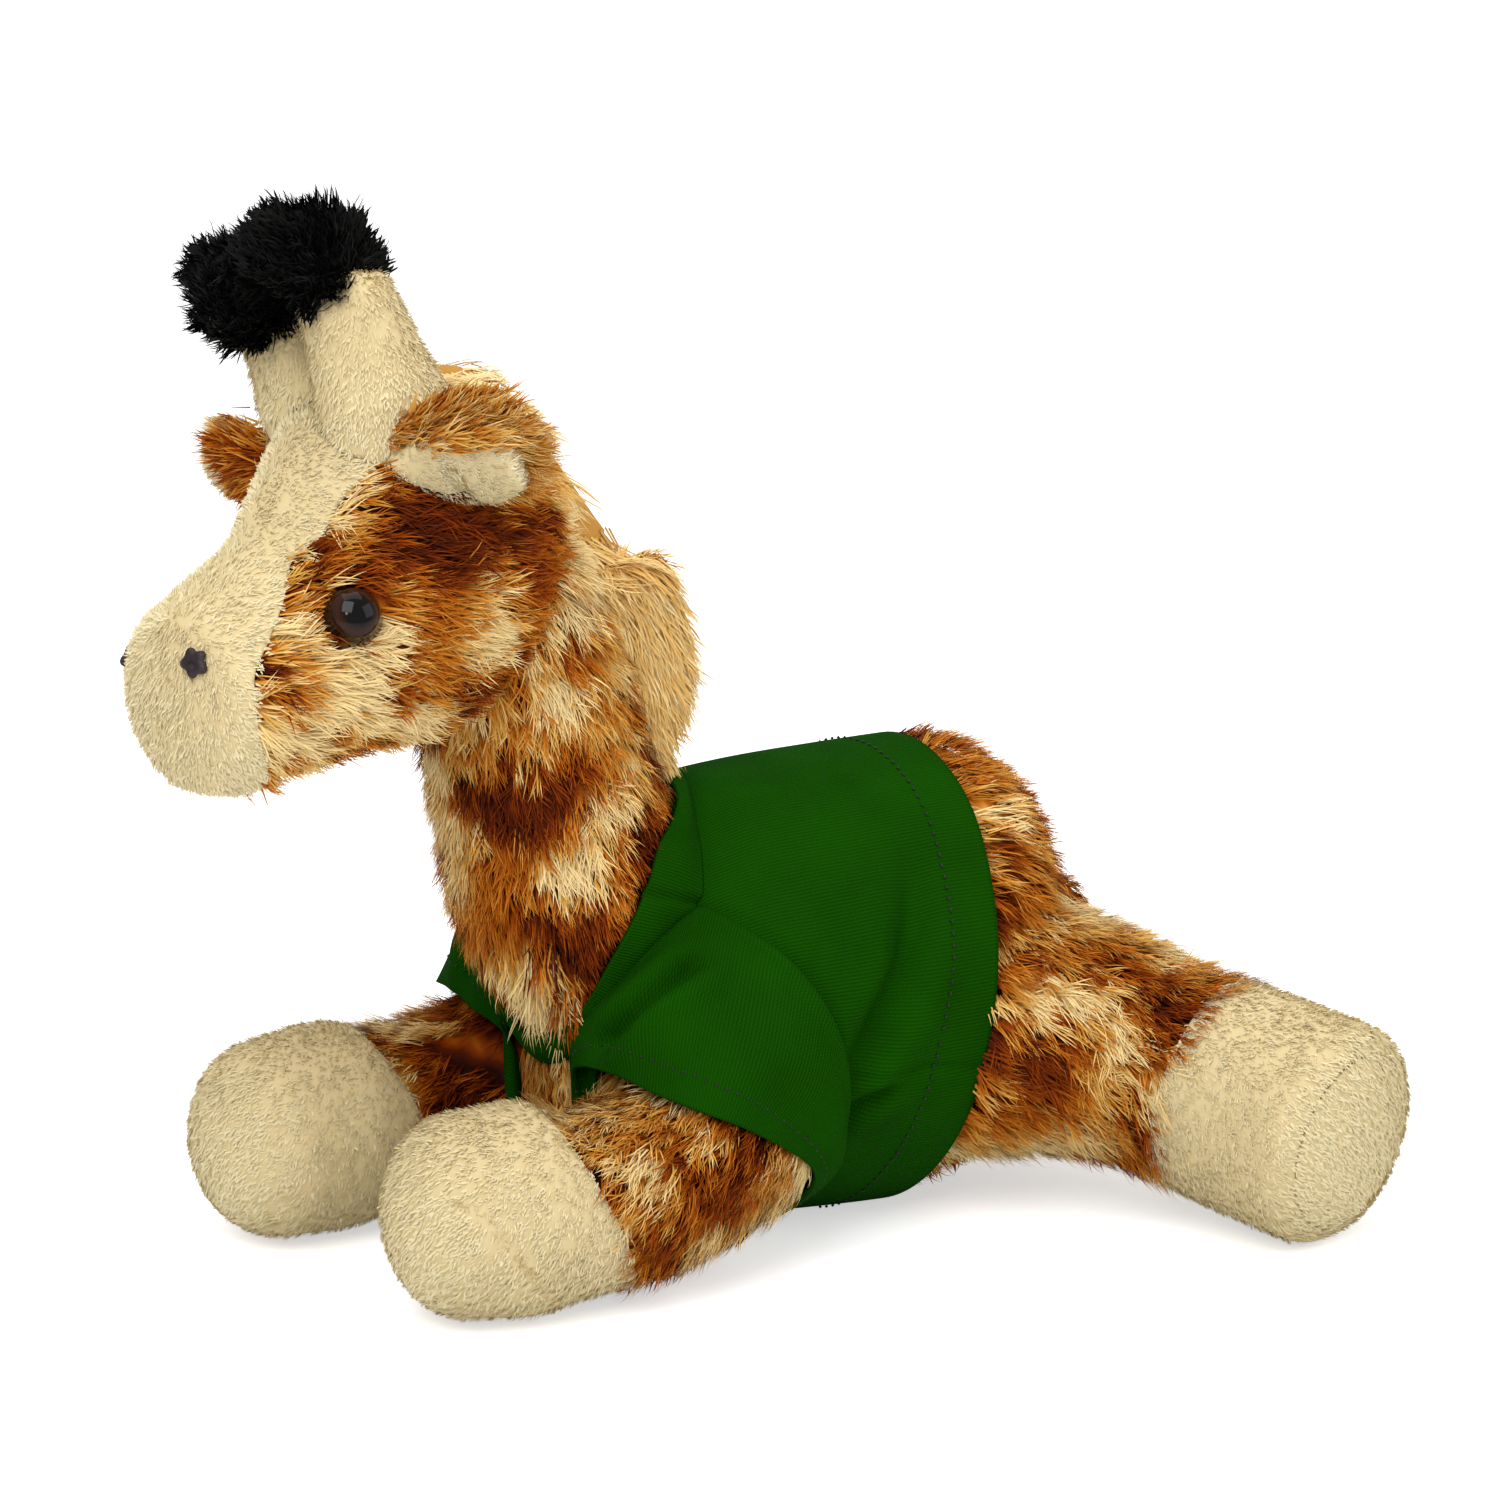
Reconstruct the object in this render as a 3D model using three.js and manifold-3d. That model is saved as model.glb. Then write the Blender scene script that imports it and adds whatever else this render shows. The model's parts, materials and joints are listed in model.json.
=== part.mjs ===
// A stuffed giraffe that lies on its belly and wears a small jersey T-shirt.
// Lengths are millimetres, +Z is up, -X is where the giraffe looks and -Y is its left side.
// Each soft body is a swelling form lofted through elliptic rings: a cloth skin, open where it is
// sewn to the next one, over its stuffing.
import * as THREE from "three";
import { mergeVertices } from "three/addons/utils/BufferGeometryUtils.js";
import Module from "manifold-3d";

const wasm = await Module();
wasm.setup();

// Shared by all the pieces
const SKIN = 1.2;
const SEAM_GAP = 0.3;
const JOINT_GAP = 0.5;
const STUFFING_RECESS = 2.6;
const FLOOR_FLAT = 0.5;
const CUT_REACH = 400;

// Torso
const TORSO_LENGTH = 76;
const TORSO_HALF_WIDTH = 34.5;
const TORSO_HALF_HEIGHT = 37;
const TORSO_FRONT_X = -50;
const TORSO_FRONT_DOME = 8;
const TORSO_REAR_DOME = 9;
const TORSO_END_LIFT = 2;
const POUCH_LENGTH = 26;
const POUCH_EASE = 1;

// Shirt
const SHIRT_CLOTH = 1.2;
const SHIRT_EASE = 0.5;
const SHIRT_HEM_FROM_REAR = 21;
const SHIRT_HEM_LEAN = 6;
const NECKBAND_WIDTH = 6.5;
const NECKLINE_EASE = 1;
const ARMHOLE_EASE = 0.8;
const SLEEVE_EASE = 0.6;
const SLEEVE_FLARE = 4;

// Neck
const NECK_HALF_WIDTH = 18.5;
const NECK_HALF_DEPTH = 18.5;
const NECK_RISE = 62;
const NECK_ADVANCE = 28;
const NECK_ROOT_FROM_FRONT = 7;
const NECK_ROOT_Z = 50;
const NECK_DOME = 9;
const NECK_OPENING_INSET = 7;

// Head: its place from the neck's end, then sizes in its own frame, from the skull's middle
const HEAD_AHEAD = 19;
const HEAD_ASIDE = 3;
const HEAD_ABOVE = 8;
const HEAD_YAW_DEGREES = 9;
const HEAD_ROLL_DEGREES = 10;
const NAPE_REACH = 24;
const MUZZLE_REACH = 38.5;
const HEAD_HALF_WIDTH = 23;
const HEAD_HALF_HEIGHT = 29;
const NAPE_DOME = 6;
const MUZZLE_DOME = 6.5;

// Horns, each with a tuft of black pile
const HORN_LENGTH = 30;
const HORN_SPACING = 20;
const HORN_BASE_RADIUS = 11.6;
const HORN_TOP_RADIUS = 8;
const HORN_DOME = 4;
const HORN_BASE_FORWARD = 2;
const HORN_BASE_UP = 20;
const HORN_LEAN_DEGREES = 14;
const TUFT_HALF_WIDTH = 11.5;
const TUFT_HALF_LENGTH = 5;
const TUFT_DOME = 6;
const LEFT_TUFT = { halfHeight: 8.8, rise: 3.5, fall: 0.5 };
const RIGHT_TUFT = { halfHeight: 10.5, rise: -2, fall: 1.5 };

// Ears
const EAR_LENGTH = 26;
const EAR_HALF_WIDTH = 10;
const EAR_BACK_THICKNESS = 3.4;
const EAR_LINING_THICKNESS = 2.6;
const EAR_LINING_LENGTH = 19;
const EAR_LINING_HALF_WIDTH = 6.5;
const EAR_ROOT_INSIDE = 4;
const EAR_FORWARD = 5;
const EAR_UP = 18.5;
const EAR_SWEEP_DEGREES = { left: 28, right: 2 };
const EAR_TILT_DEGREES = 35;

// Eyes and nostrils
const EYE_RADIUS = 4.2;
const EYE_DOME = 3.3;
const EYE_RIM = 0.6;
const EYE_LIFT = 0.8;
const EYE_FORWARD = 20.5;
const EYE_UP = -4.6;
const SHANK_RADIUS = 1.3;
const SHANK_LENGTH = 6;
const WASHER_RADIUS = 5;
const WASHER_THICKNESS = 1;
const WASHER_DEPTH = 1.4;
const NOSTRIL_RADIUS = 2.3;
const NOSTRIL_THICKNESS = 0.9;
const NOSTRIL_SPACING = 16;
const NOSTRIL_UP = -8;

// Mane
const MANE_HALF_WIDTH = 5;
const MANE_HALF_DEPTH = 14;
const MANE_DOME = 6;

// Front legs, stretched out ahead on the floor
const SHOULDER_FROM_FRONT = 18;
const SHOULDER_Y = 17;
const SHOULDER_Z = 30;
const LEFT_FRONT_REACH = 57;
const RIGHT_FRONT_REACH = 66;
const LEFT_FRONT_SPREAD = 12;
const RIGHT_FRONT_SPREAD = 7;
const HOOF_SEAM_LEAN = 0.36;
const FRONT_ROOT_RADIUS = 22.5;
const FRONT_WRIST_RADIUS = 15.8;
const FRONT_HOOF_RADIUS = 18;
const FRONT_HOOF_DOME = 14;

// Hind legs, splayed out behind on the floor
const HIP_FROM_REAR = 14;
const HIP_Y = 15;
const HIP_Z = 32;
const HIND_REACH = 40;
const HIND_SPREAD = 52;
const HIND_ROOT_RADIUS = 25;
const HIND_ANKLE_RADIUS = 19;
const HIND_HOOF_RADIUS = 19.6;
const HIND_HOOF_DOME = 8;
const SOLE_DEPTH = 4;

// Tail, which leaves the rump backwards and hangs behind the hind legs
const TAIL_ROOT_Z = 48;
const TAIL_RADIUS = 3.4;
const TAIL_DROP = 26;
const TAIL_SET_BACK = 13;
const TAIL_TUFT_RADIUS = 5;
const TAIL_TUFT_LENGTH = 10;
const TAIL_DOME = 2;

// Turning ranges in degrees, lowest and highest
const NECK_RANGE = [-10, 10];
const HEAD_RANGE = [-12, 12];
const EAR_RANGE = [-20, 20];
const FRONT_LEG_RANGE = [-6, 12];
const HIND_LEG_RANGE = [-10, 14];
const TAIL_RANGE = [0, 50];

// Facets
const SKIN_FACETS = { around: 20, between: 2, dome: 2 };
const LONG_FACETS = { around: 20, between: 1, dome: 2 };
const INNER_FACETS = { around: 12, between: 1, dome: 1 };
const SMALL_FACETS = { around: 12, between: 1, dome: 2 };
const TURNED_FACETS = 16;

// Colours
const FUR_COLOUR = 0xb9722f;
const CREAM_COLOUR = 0xecd9ac;
const MANE_COLOUR = 0xd9bb80;
const BLACK_COLOUR = 0x161616;
const SHIRT_COLOUR = 0x125000;
const STUFFING_COLOUR = 0xf4f3ee;
const POUCH_COLOUR = 0xd8d5cc;
const PLASTIC_COLOUR = 0xe6e4de;
const THREAD_COLOUR = 0x3a1c12;

const X_AXIS = new THREE.Vector3(1, 0, 0);
const Y_AXIS = new THREE.Vector3(0, 1, 0);
const Z_AXIS = new THREE.Vector3(0, 0, 1);
const { degToRad } = THREE.MathUtils;

// Joining and cutting of closed shapes
function toSolid(geometry) {
  const bare = geometry.clone();
  bare.deleteAttribute("normal");
  bare.deleteAttribute("uv");
  const merged = geometry.attributes.normal ? mergeVertices(bare) : bare;
  return new wasm.Manifold(new wasm.Mesh({
    numProp: 3,
    vertProperties: new Float32Array(merged.attributes.position.array),
    triVerts: new Uint32Array(merged.index.array),
  }));
}

function toGeometry(solid) {
  const mesh = solid.getMesh();
  const geometry = new THREE.BufferGeometry();
  geometry.setAttribute("position", new THREE.BufferAttribute(new Float32Array(mesh.vertProperties), 3));
  geometry.setIndex(new THREE.BufferAttribute(new Uint32Array(mesh.triVerts), 1));
  return geometry;
}

function cut(solid, shapes) {
  return shapes.reduce((rest, shape) => rest.subtract(toSolid(shape)), solid);
}

function keep(solid, shape) {
  return solid.intersect(toSolid(shape));
}

function placed(geometry, matrix) {
  return geometry.clone().applyMatrix4(matrix);
}

// A form that swells and tapers: elliptic rings on a smooth spine, closed by domes.
// A station is { at, half: [across, upright], pinch }, and grow widens every ring and dome alike.
// The pinch is the share of its width that a ring loses at its top and gains at its bottom.
function swell(stations, { grow = 0, domes, facets = SKIN_FACETS, facing = null }) {
  const spine = new THREE.CatmullRomCurve3(stations.map((station) => station.at));
  const girth = new THREE.CatmullRomCurve3(
    stations.map(({ half, pinch = 0 }) => new THREE.Vector3(half[0], half[1], pinch)),
  );
  const rings = [];
  const addRing = (share, slide, scale) => {
    const along = facing ? facing.clone() : spine.getTangent(share);
    const across = new THREE.Vector3().crossVectors(along, Z_AXIS).normalize();
    const upright = new THREE.Vector3().crossVectors(across, along).normalize();
    const centre = spine.getPoint(share).addScaledVector(along, slide);
    const half = girth.getPoint(share);
    const ring = [];
    for (let i = 0; i < facets.around; i += 1) {
      const turn = (2 * Math.PI * i) / facets.around;
      const point = centre.clone();
      const width = (half.x + grow) * (1 - half.z * Math.sin(turn));
      point.addScaledVector(across, width * scale * Math.cos(turn));
      point.addScaledVector(upright, (half.y + grow) * scale * Math.sin(turn));
      ring.push(point);
    }
    rings.push({ centre, ring });
  };
  const domeTurn = (i) => (Math.PI / 2) * (i / (facets.dome + 1 / 2));
  for (let i = facets.dome; i > 0; i -= 1) {
    addRing(0, -(domes[0] + grow) * Math.sin(domeTurn(i)), Math.cos(domeTurn(i)));
  }
  const spans = (stations.length - 1) * facets.between;
  for (let i = 0; i <= spans; i += 1) {
    addRing(i / spans, 0, 1);
  }
  for (let i = 1; i <= facets.dome; i += 1) {
    addRing(1, (domes[1] + grow) * Math.sin(domeTurn(i)), Math.cos(domeTurn(i)));
  }
  const points = rings.flatMap(({ ring }) => ring);
  const pole = points.length;
  points.push(rings[0].centre, rings[rings.length - 1].centre);
  const faces = [];
  const count = facets.around;
  for (let row = 0; row + 1 < rings.length; row += 1) {
    for (let i = 0; i < count; i += 1) {
      const a = row * count + i;
      const b = row * count + ((i + 1) % count);
      faces.push(a, b + count, b, a, a + count, b + count);
    }
  }
  const lastRow = (rings.length - 1) * count;
  for (let i = 0; i < count; i += 1) {
    const next = (i + 1) % count;
    faces.push(pole, i, next, pole + 1, lastRow + next, lastRow + i);
  }
  const geometry = new THREE.BufferGeometry().setFromPoints(points);
  geometry.setIndex(faces);
  return geometry;
}

// All the space beyond a plane, as a large box that stands on it
function beyond(point, normal) {
  const box = new THREE.BoxGeometry(CUT_REACH, CUT_REACH, CUT_REACH);
  box.translate(0, 0, CUT_REACH / 2);
  box.applyQuaternion(new THREE.Quaternion().setFromUnitVectors(Z_AXIS, normal.clone().normalize()));
  return box.translate(point.x, point.y, point.z);
}

const underFloor = beyond(new THREE.Vector3(), Z_AXIS.clone().negate());

// Joints: a child turns about an axis through a pivot
function turned(geometry, joint, degrees) {
  const matrix = new THREE.Matrix4().makeTranslation(joint.pivot.x, joint.pivot.y, joint.pivot.z);
  matrix.multiply(new THREE.Matrix4().makeRotationAxis(joint.axis, degToRad(degrees)));
  matrix.multiply(new THREE.Matrix4().makeTranslation(-joint.pivot.x, -joint.pivot.y, -joint.pivot.z));
  return placed(geometry, matrix);
}

function anglesOf(joint) {
  const [low, high] = joint.range;
  return [low, 0, high].filter((angle, i, all) => all.indexOf(angle) === i);
}

// Where a parent's shape comes to lie, seen from its turning child, and a child's seen from its parent
function parentPaths(geometry, joint) {
  return anglesOf(joint).map((degrees) => turned(geometry, joint, -degrees));
}

function childPaths(geometry, joint) {
  return anglesOf(joint).map((degrees) => turned(geometry, joint, degrees));
}

// The outermost point of a shape on a ray from inside it, with the face's normal there
function seatOn(geometry, origin, direction) {
  const probe = new THREE.Mesh(geometry, new THREE.MeshBasicMaterial({ side: THREE.DoubleSide }));
  const hits = new THREE.Raycaster(origin, direction.clone().normalize()).intersectObject(probe);
  const hit = hits[hits.length - 1];
  return { point: hit.point, normal: hit.face.normal.clone() };
}

// A turned piece with its own +Z along a seat's normal
function setOn(seat, lift, geometry) {
  geometry.applyQuaternion(new THREE.Quaternion().setFromUnitVectors(Z_AXIS, seat.normal));
  const spot = seat.point.clone().addScaledVector(seat.normal, lift);
  return geometry.translate(spot.x, spot.y, spot.z);
}

function lathe(profile) {
  const geometry = new THREE.LatheGeometry(profile.map(([r, z]) => new THREE.Vector2(r, z)), TURNED_FACETS);
  return geometry.rotateX(Math.PI / 2);
}

// Torso: [along, width, height] as shares of its length, half width and half height
const torsoShares = [
  [0, 0.64, 0.63],
  [0.11, 0.85, 0.87],
  [0.27, 0.97, 0.985],
  [0.46, 1, 1],
  [0.66, 1, 1],
  [0.82, 0.96, 0.98],
  [0.93, 0.83, 0.86],
  [1, 0.64, 0.66],
];
const torsoMiddleZ = TORSO_HALF_HEIGHT + SHIRT_CLOTH + SHIRT_EASE - FLOOR_FLAT;
const torsoRearX = TORSO_FRONT_X + TORSO_LENGTH;
const torsoStations = torsoShares.map(([along, width, height]) => ({
  at: new THREE.Vector3(
    TORSO_FRONT_X + TORSO_LENGTH * along,
    0,
    torsoMiddleZ + TORSO_END_LIFT * (1 - height),
  ),
  half: [TORSO_HALF_WIDTH * width, TORSO_HALF_HEIGHT * height],
}));
function torsoForm(grow, facets = LONG_FACETS) {
  return swell(torsoStations, { grow, domes: [TORSO_FRONT_DOME, TORSO_REAR_DOME], facets, facing: X_AXIS });
}

// Neck: [forward, up, width, depth] as shares, from its root inside the chest to the skull
const neckShares = [
  [0, 0, 1.18, 1.28],
  [0.4, 0.2, 1.12, 1.16],
  [0.6, 0.46, 1.02, 1.03],
  [0.75, 0.74, 1, 1],
  [1, 1, 1, 1],
];
const neckRootX = TORSO_FRONT_X + NECK_ROOT_FROM_FRONT;
const neckStations = neckShares.map(([forward, up, width, depth]) => ({
  at: new THREE.Vector3(neckRootX - NECK_ADVANCE * forward, 0, NECK_ROOT_Z + NECK_RISE * up),
  half: [NECK_HALF_WIDTH * width, NECK_HALF_DEPTH * depth],
}));
function neckForm(grow, facets) {
  return swell(neckStations, { grow, domes: [NECK_DOME, NECK_DOME], facets });
}
const neckJoint = { pivot: neckStations[0].at, axis: Y_AXIS, range: NECK_RANGE };
const headJoint = { pivot: neckStations[neckStations.length - 1].at, axis: Y_AXIS, range: HEAD_RANGE };

// Head: its own frame looks along -X, and the place turns that to the left and rolls it to the right
const headAt = headJoint.pivot.clone().add(new THREE.Vector3(-HEAD_AHEAD, -HEAD_ASIDE, HEAD_ABOVE));
const headPlace = new THREE.Matrix4().setPosition(headAt);
headPlace.multiply(new THREE.Matrix4().makeRotationZ(degToRad(HEAD_YAW_DEGREES)));
headPlace.multiply(new THREE.Matrix4().makeRotationX(degToRad(-HEAD_ROLL_DEGREES)));
function inHead(forward, right, up) {
  return new THREE.Vector3(-forward, right, up).applyMatrix4(headPlace);
}
function headWay(forward, right, up) {
  return new THREE.Vector3(-forward, right, up).transformDirection(headPlace);
}
// [forward, drop, width, height, pinch]: forward is a share of the nape's reach behind and the muzzle's
// ahead; the bridge of the nose is pinched
const headShares = [
  [-1, -0.1, 0.7, 0.66, 0],
  [-0.6, -0.04, 0.95, 0.9, 0],
  [0, 0.01, 1.04, 1, 0.06],
  [0.3, 0.05, 0.95, 0.97, 0.14],
  [0.51, 0.21, 0.85, 0.83, 0.28],
  [0.69, 0.39, 0.83, 0.68, 0.26],
  [0.86, 0.49, 0.85, 0.63, 0.1],
  [1, 0.535, 0.75, 0.55, 0],
];
const headStations = headShares.map(([forward, drop, width, height, pinch]) => ({
  at: new THREE.Vector3(
    -forward * (forward < 0 ? NAPE_REACH : MUZZLE_REACH),
    0,
    -drop * HEAD_HALF_HEIGHT,
  ),
  half: [HEAD_HALF_WIDTH * width, HEAD_HALF_HEIGHT * height],
  pinch,
}));
function headForm(grow, facets = LONG_FACETS) {
  const domes = [NAPE_DOME, MUZZLE_DOME];
  return placed(swell(headStations, { grow, domes, facets, facing: X_AXIS.clone().negate() }), headPlace);
}

// The face panel's seam seen from the side: [forward, up] as shares of the muzzle's reach and half height
const faceSeamShares = [
  [-0.06, 1.1],
  [0.04, 0.82],
  [0.135, 0.645],
  [0.29, 0.54],
  [0.42, 0.4],
  [0.5, 0.26],
  [0.62, 0.15],
  [0.735, -0.055],
  [0.88, -0.24],
  [0.98, -0.43],
  [0.97, -0.76],
  [0.86, -1.05],
  [0.8, -1.4],
];
const faceFrontShare = 1.6;
const faceTopShare = 1.6;
function faceRegion(shift) {
  const seam = faceSeamShares.map(
    ([forward, up]) => new THREE.Vector2(-forward * MUZZLE_REACH + shift, up * HEAD_HALF_HEIGHT),
  );
  const outline = new THREE.Shape();
  const front = -faceFrontShare * MUZZLE_REACH;
  outline.moveTo(front, faceTopShare * HEAD_HALF_HEIGHT);
  outline.lineTo(seam[0].x, faceTopShare * HEAD_HALF_HEIGHT);
  outline.lineTo(seam[0].x, seam[0].y);
  outline.splineThru(seam.slice(1));
  outline.lineTo(front, seam[seam.length - 1].y);
  const region = new THREE.ExtrudeGeometry(outline, {
    depth: 4 * HEAD_HALF_WIDTH,
    bevelEnabled: false,
    curveSegments: 1,
  });
  region.translate(0, 0, -2 * HEAD_HALF_WIDTH).rotateX(Math.PI / 2);
  return placed(region, headPlace);
}

// Legs: [along, spread, drop, radius]; the first three are shares of the way from root to hoof
const frontLegShares = [
  [0, 0, 0, FRONT_ROOT_RADIUS],
  [0.17, 0.6, 0.35, FRONT_ROOT_RADIUS * 0.94],
  [0.4, 1.15, 0.8, FRONT_ROOT_RADIUS * 0.72],
  [0.66, 1.2, 1, FRONT_WRIST_RADIUS],
  [0.85, 1.05, 1, FRONT_HOOF_RADIUS],
  [1, 0.9, 1, FRONT_HOOF_RADIUS * 0.96],
];
const hindLegShares = [
  [0, 0, 0, HIND_ROOT_RADIUS],
  [0.4, 0.18, 0.25, HIND_ROOT_RADIUS * 0.86],
  [0.7, 0.46, 0.6, HIND_ANKLE_RADIUS],
  [0.88, 0.74, 0.85, HIND_HOOF_RADIUS],
  [1, 1, 1, HIND_HOOF_RADIUS],
];
const sleeveFlareShares = [1, 1, 0.3, 0, 0, 0];
const frontHoofShare = 0.6;
const hindHoofShare = 0.58;
const sleeveHemShare = 0.2;
const SLEEVE_HEM_WAY = [-0.56, 0.43, -0.71];

function legStations({ root, way, side, reach, spread, hoofRadius, shares }) {
  const [x, y, z] = root;
  const drop = z - (hoofRadius - FLOOR_FLAT);
  return shares.map(([along, out, down, radius]) => ({
    at: new THREE.Vector3(x + way * reach * along, side * (y + spread * out), z - drop * down),
    half: [radius, radius],
  }));
}

// The plane across a limb at a share of its stations
function crossPlane(stations, share, advance = 0, lean = 0) {
  const spine = new THREE.CatmullRomCurve3(stations.map((station) => station.at));
  const along = spine.getTangent(share);
  const normal = along.clone().addScaledVector(Z_AXIS, -lean).normalize();
  return { point: spine.getPoint(share).addScaledVector(along, advance), normal };
}

function beyondPlane({ point, normal }, shift = 0) {
  return beyond(point.clone().addScaledVector(normal, shift), normal);
}

function beforePlane({ point, normal }, shift = 0) {
  return beyond(point.clone().addScaledVector(normal, shift), normal.clone().negate());
}

// Materials and the tree of bodies: a group stands at the pivot of each body
const finishes = {
  fur: [FUR_COLOUR, 0.9],
  cream: [CREAM_COLOUR, 0.95],
  mane: [MANE_COLOUR, 0.9],
  black: [BLACK_COLOUR, 0.9],
  shirt: [SHIRT_COLOUR, 0.85],
  stuffing: [STUFFING_COLOUR, 1],
  pouch: [POUCH_COLOUR, 0.95],
  plastic: [PLASTIC_COLOUR, 0.5],
  eye: [BLACK_COLOUR, 0.05],
  thread: [THREAD_COLOUR, 0.8],
};
const giraffe = new THREE.Group();
giraffe.name = "torso";

function body(name, parent, joint) {
  const group = new THREE.Group();
  group.name = name;
  parent.add(group);
  parent.updateWorldMatrix(true, false);
  group.position.copy(parent.worldToLocal(joint.pivot.clone()));
  group.updateWorldMatrix(true, false);
  return group;
}

function add(group, name, solid, finish) {
  const [color, roughness] = finishes[finish];
  const geometry = toGeometry(solid).applyMatrix4(group.matrixWorld.clone().invert());
  geometry.computeVertexNormals();
  const mesh = new THREE.Mesh(geometry, new THREE.MeshStandardMaterial({ color, roughness, metalness: 0 }));
  mesh.name = name;
  group.add(mesh);
}

const sides = [
  { name: "left", side: -1 },
  { name: "right", side: 1 },
];

// Limb forms and joints
function frontLeg(side) {
  const stations = legStations({
    root: [TORSO_FRONT_X + SHOULDER_FROM_FRONT, SHOULDER_Y, SHOULDER_Z],
    way: -1,
    side,
    reach: side < 0 ? LEFT_FRONT_REACH : RIGHT_FRONT_REACH,
    spread: side < 0 ? LEFT_FRONT_SPREAD : RIGHT_FRONT_SPREAD,
    hoofRadius: FRONT_HOOF_RADIUS,
    shares: frontLegShares,
  });
  const range = side < 0 ? FRONT_LEG_RANGE : FRONT_LEG_RANGE.map((angle) => -angle).reverse();
  const joint = { pivot: stations[0].at, axis: Z_AXIS, range };
  const domes = [FRONT_ROOT_RADIUS / 2, FRONT_HOOF_DOME];
  const form = (grow, facets) => swell(stations, { grow, domes, facets });
  const sleeveStations = stations.map(({ at, half }, i) => ({
    at,
    half: half.map((radius) => radius + SLEEVE_FLARE * sleeveFlareShares[i]),
  }));
  const sleeve = (grow) => swell(sleeveStations, { grow, domes });
  return { stations, joint, form, sleeve };
}

function hindLeg(side) {
  const stations = legStations({
    root: [torsoRearX - HIP_FROM_REAR, HIP_Y, HIP_Z],
    way: 1,
    side,
    reach: HIND_REACH,
    spread: HIND_SPREAD,
    hoofRadius: HIND_HOOF_RADIUS,
    shares: hindLegShares,
  });
  const range = side < 0 ? HIND_LEG_RANGE.map((angle) => -angle).reverse() : HIND_LEG_RANGE;
  const joint = { pivot: stations[0].at, axis: Z_AXIS, range };
  const domes = [HIND_ROOT_RADIUS / 2, HIND_HOOF_DOME];
  return { stations, joint, form: (grow, facets) => swell(stations, { grow, domes, facets }) };
}
const frontLegs = sides.map(({ side }) => frontLeg(side));
const hindLegs = sides.map(({ side }) => hindLeg(side));

// Torso: skin open where the neck is sewn on, stuffing, and a pouch of pellets in the rump
const pouchPlane = {
  point: new THREE.Vector3(torsoRearX + TORSO_REAR_DOME - POUCH_LENGTH, 0, 0),
  normal: X_AXIS,
};
const stuffed = -SKIN - SEAM_GAP;
add(giraffe, "torso_skin", cut(toSolid(torsoForm(0)), [
  torsoForm(-SKIN, INNER_FACETS),
  neckForm(-NECK_OPENING_INSET),
]), "fur");
add(giraffe, "torso_stuffing", cut(toSolid(torsoForm(stuffed, INNER_FACETS)), [
  beyondPlane(pouchPlane),
]), "stuffing");
add(giraffe, "pellet_pouch", keep(
  toSolid(torsoForm(stuffed - POUCH_EASE, INNER_FACETS)),
  beyondPlane(pouchPlane, SEAM_GAP),
), "pouch");

// Shirt: one tube of jersey round the torso, with a neckband round the neck's hole
const hemPlane = {
  point: new THREE.Vector3(torsoRearX - SHIRT_HEM_FROM_REAR, 0, torsoMiddleZ),
  normal: new THREE.Vector3(TORSO_HALF_HEIGHT, 0, -SHIRT_HEM_LEAN).normalize(),
};
const clothInside = SHIRT_EASE;
const clothOutside = SHIRT_EASE + SHIRT_CLOTH;
const armholes = frontLegs.flatMap(({ form, joint }) => childPaths(form(ARMHOLE_EASE), joint));
const neckPaths = childPaths(neckForm(NECKLINE_EASE), neckJoint);
const jersey = cut(toSolid(torsoForm(clothOutside)), [
  torsoForm(clothInside),
  beyondPlane(hemPlane),
  underFloor,
  ...armholes,
]);
add(giraffe, "shirt_trunk", cut(jersey, [neckForm(NECKLINE_EASE + NECKBAND_WIDTH + SEAM_GAP)]), "shirt");
add(giraffe, "shirt_neckband", cut(
  keep(jersey, neckForm(NECKLINE_EASE + NECKBAND_WIDTH)),
  neckPaths,
), "shirt");

// Neck, cut free of the torso that it leans on and of the head that nods on it
const neck = body("neck", giraffe, neckJoint);
const neckCuts = [
  ...parentPaths(torsoForm(JOINT_GAP), neckJoint),
  ...childPaths(headForm(JOINT_GAP), headJoint),
];
const recess = JOINT_GAP + STUFFING_RECESS;
const innerTorso = torsoForm(recess, SMALL_FACETS);
const innerHead = headForm(recess, SMALL_FACETS);
add(neck, "neck_skin", cut(toSolid(neckForm(0)), [neckForm(-SKIN, INNER_FACETS), ...neckCuts]), "fur");
add(neck, "neck_stuffing", cut(toSolid(neckForm(stuffed, INNER_FACETS)), [
  ...parentPaths(innerTorso, neckJoint),
  ...childPaths(innerHead, headJoint),
]), "stuffing");

// Mane: a crest of long pile down the back of the head and the neck, in two lengths
const headManeShares = [
  [-0.1, 0.98, 0.3],
  [-0.85, 0.74, 0.62],
  [-1.2, 0.28, 0.95],
  [-1.34, -0.18, 1.12],
];
const headManeStations = headManeShares.map(([forward, up, depth]) => ({
  at: new THREE.Vector3(-forward * NAPE_REACH, 0, up * HEAD_HALF_HEIGHT),
  half: [MANE_HALF_WIDTH, MANE_HALF_DEPTH * depth],
}));
function headMane(grow) {
  const form = swell(headManeStations, { grow, domes: [MANE_DOME, MANE_DOME], facets: SMALL_FACETS });
  return placed(form, headPlace);
}
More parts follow.
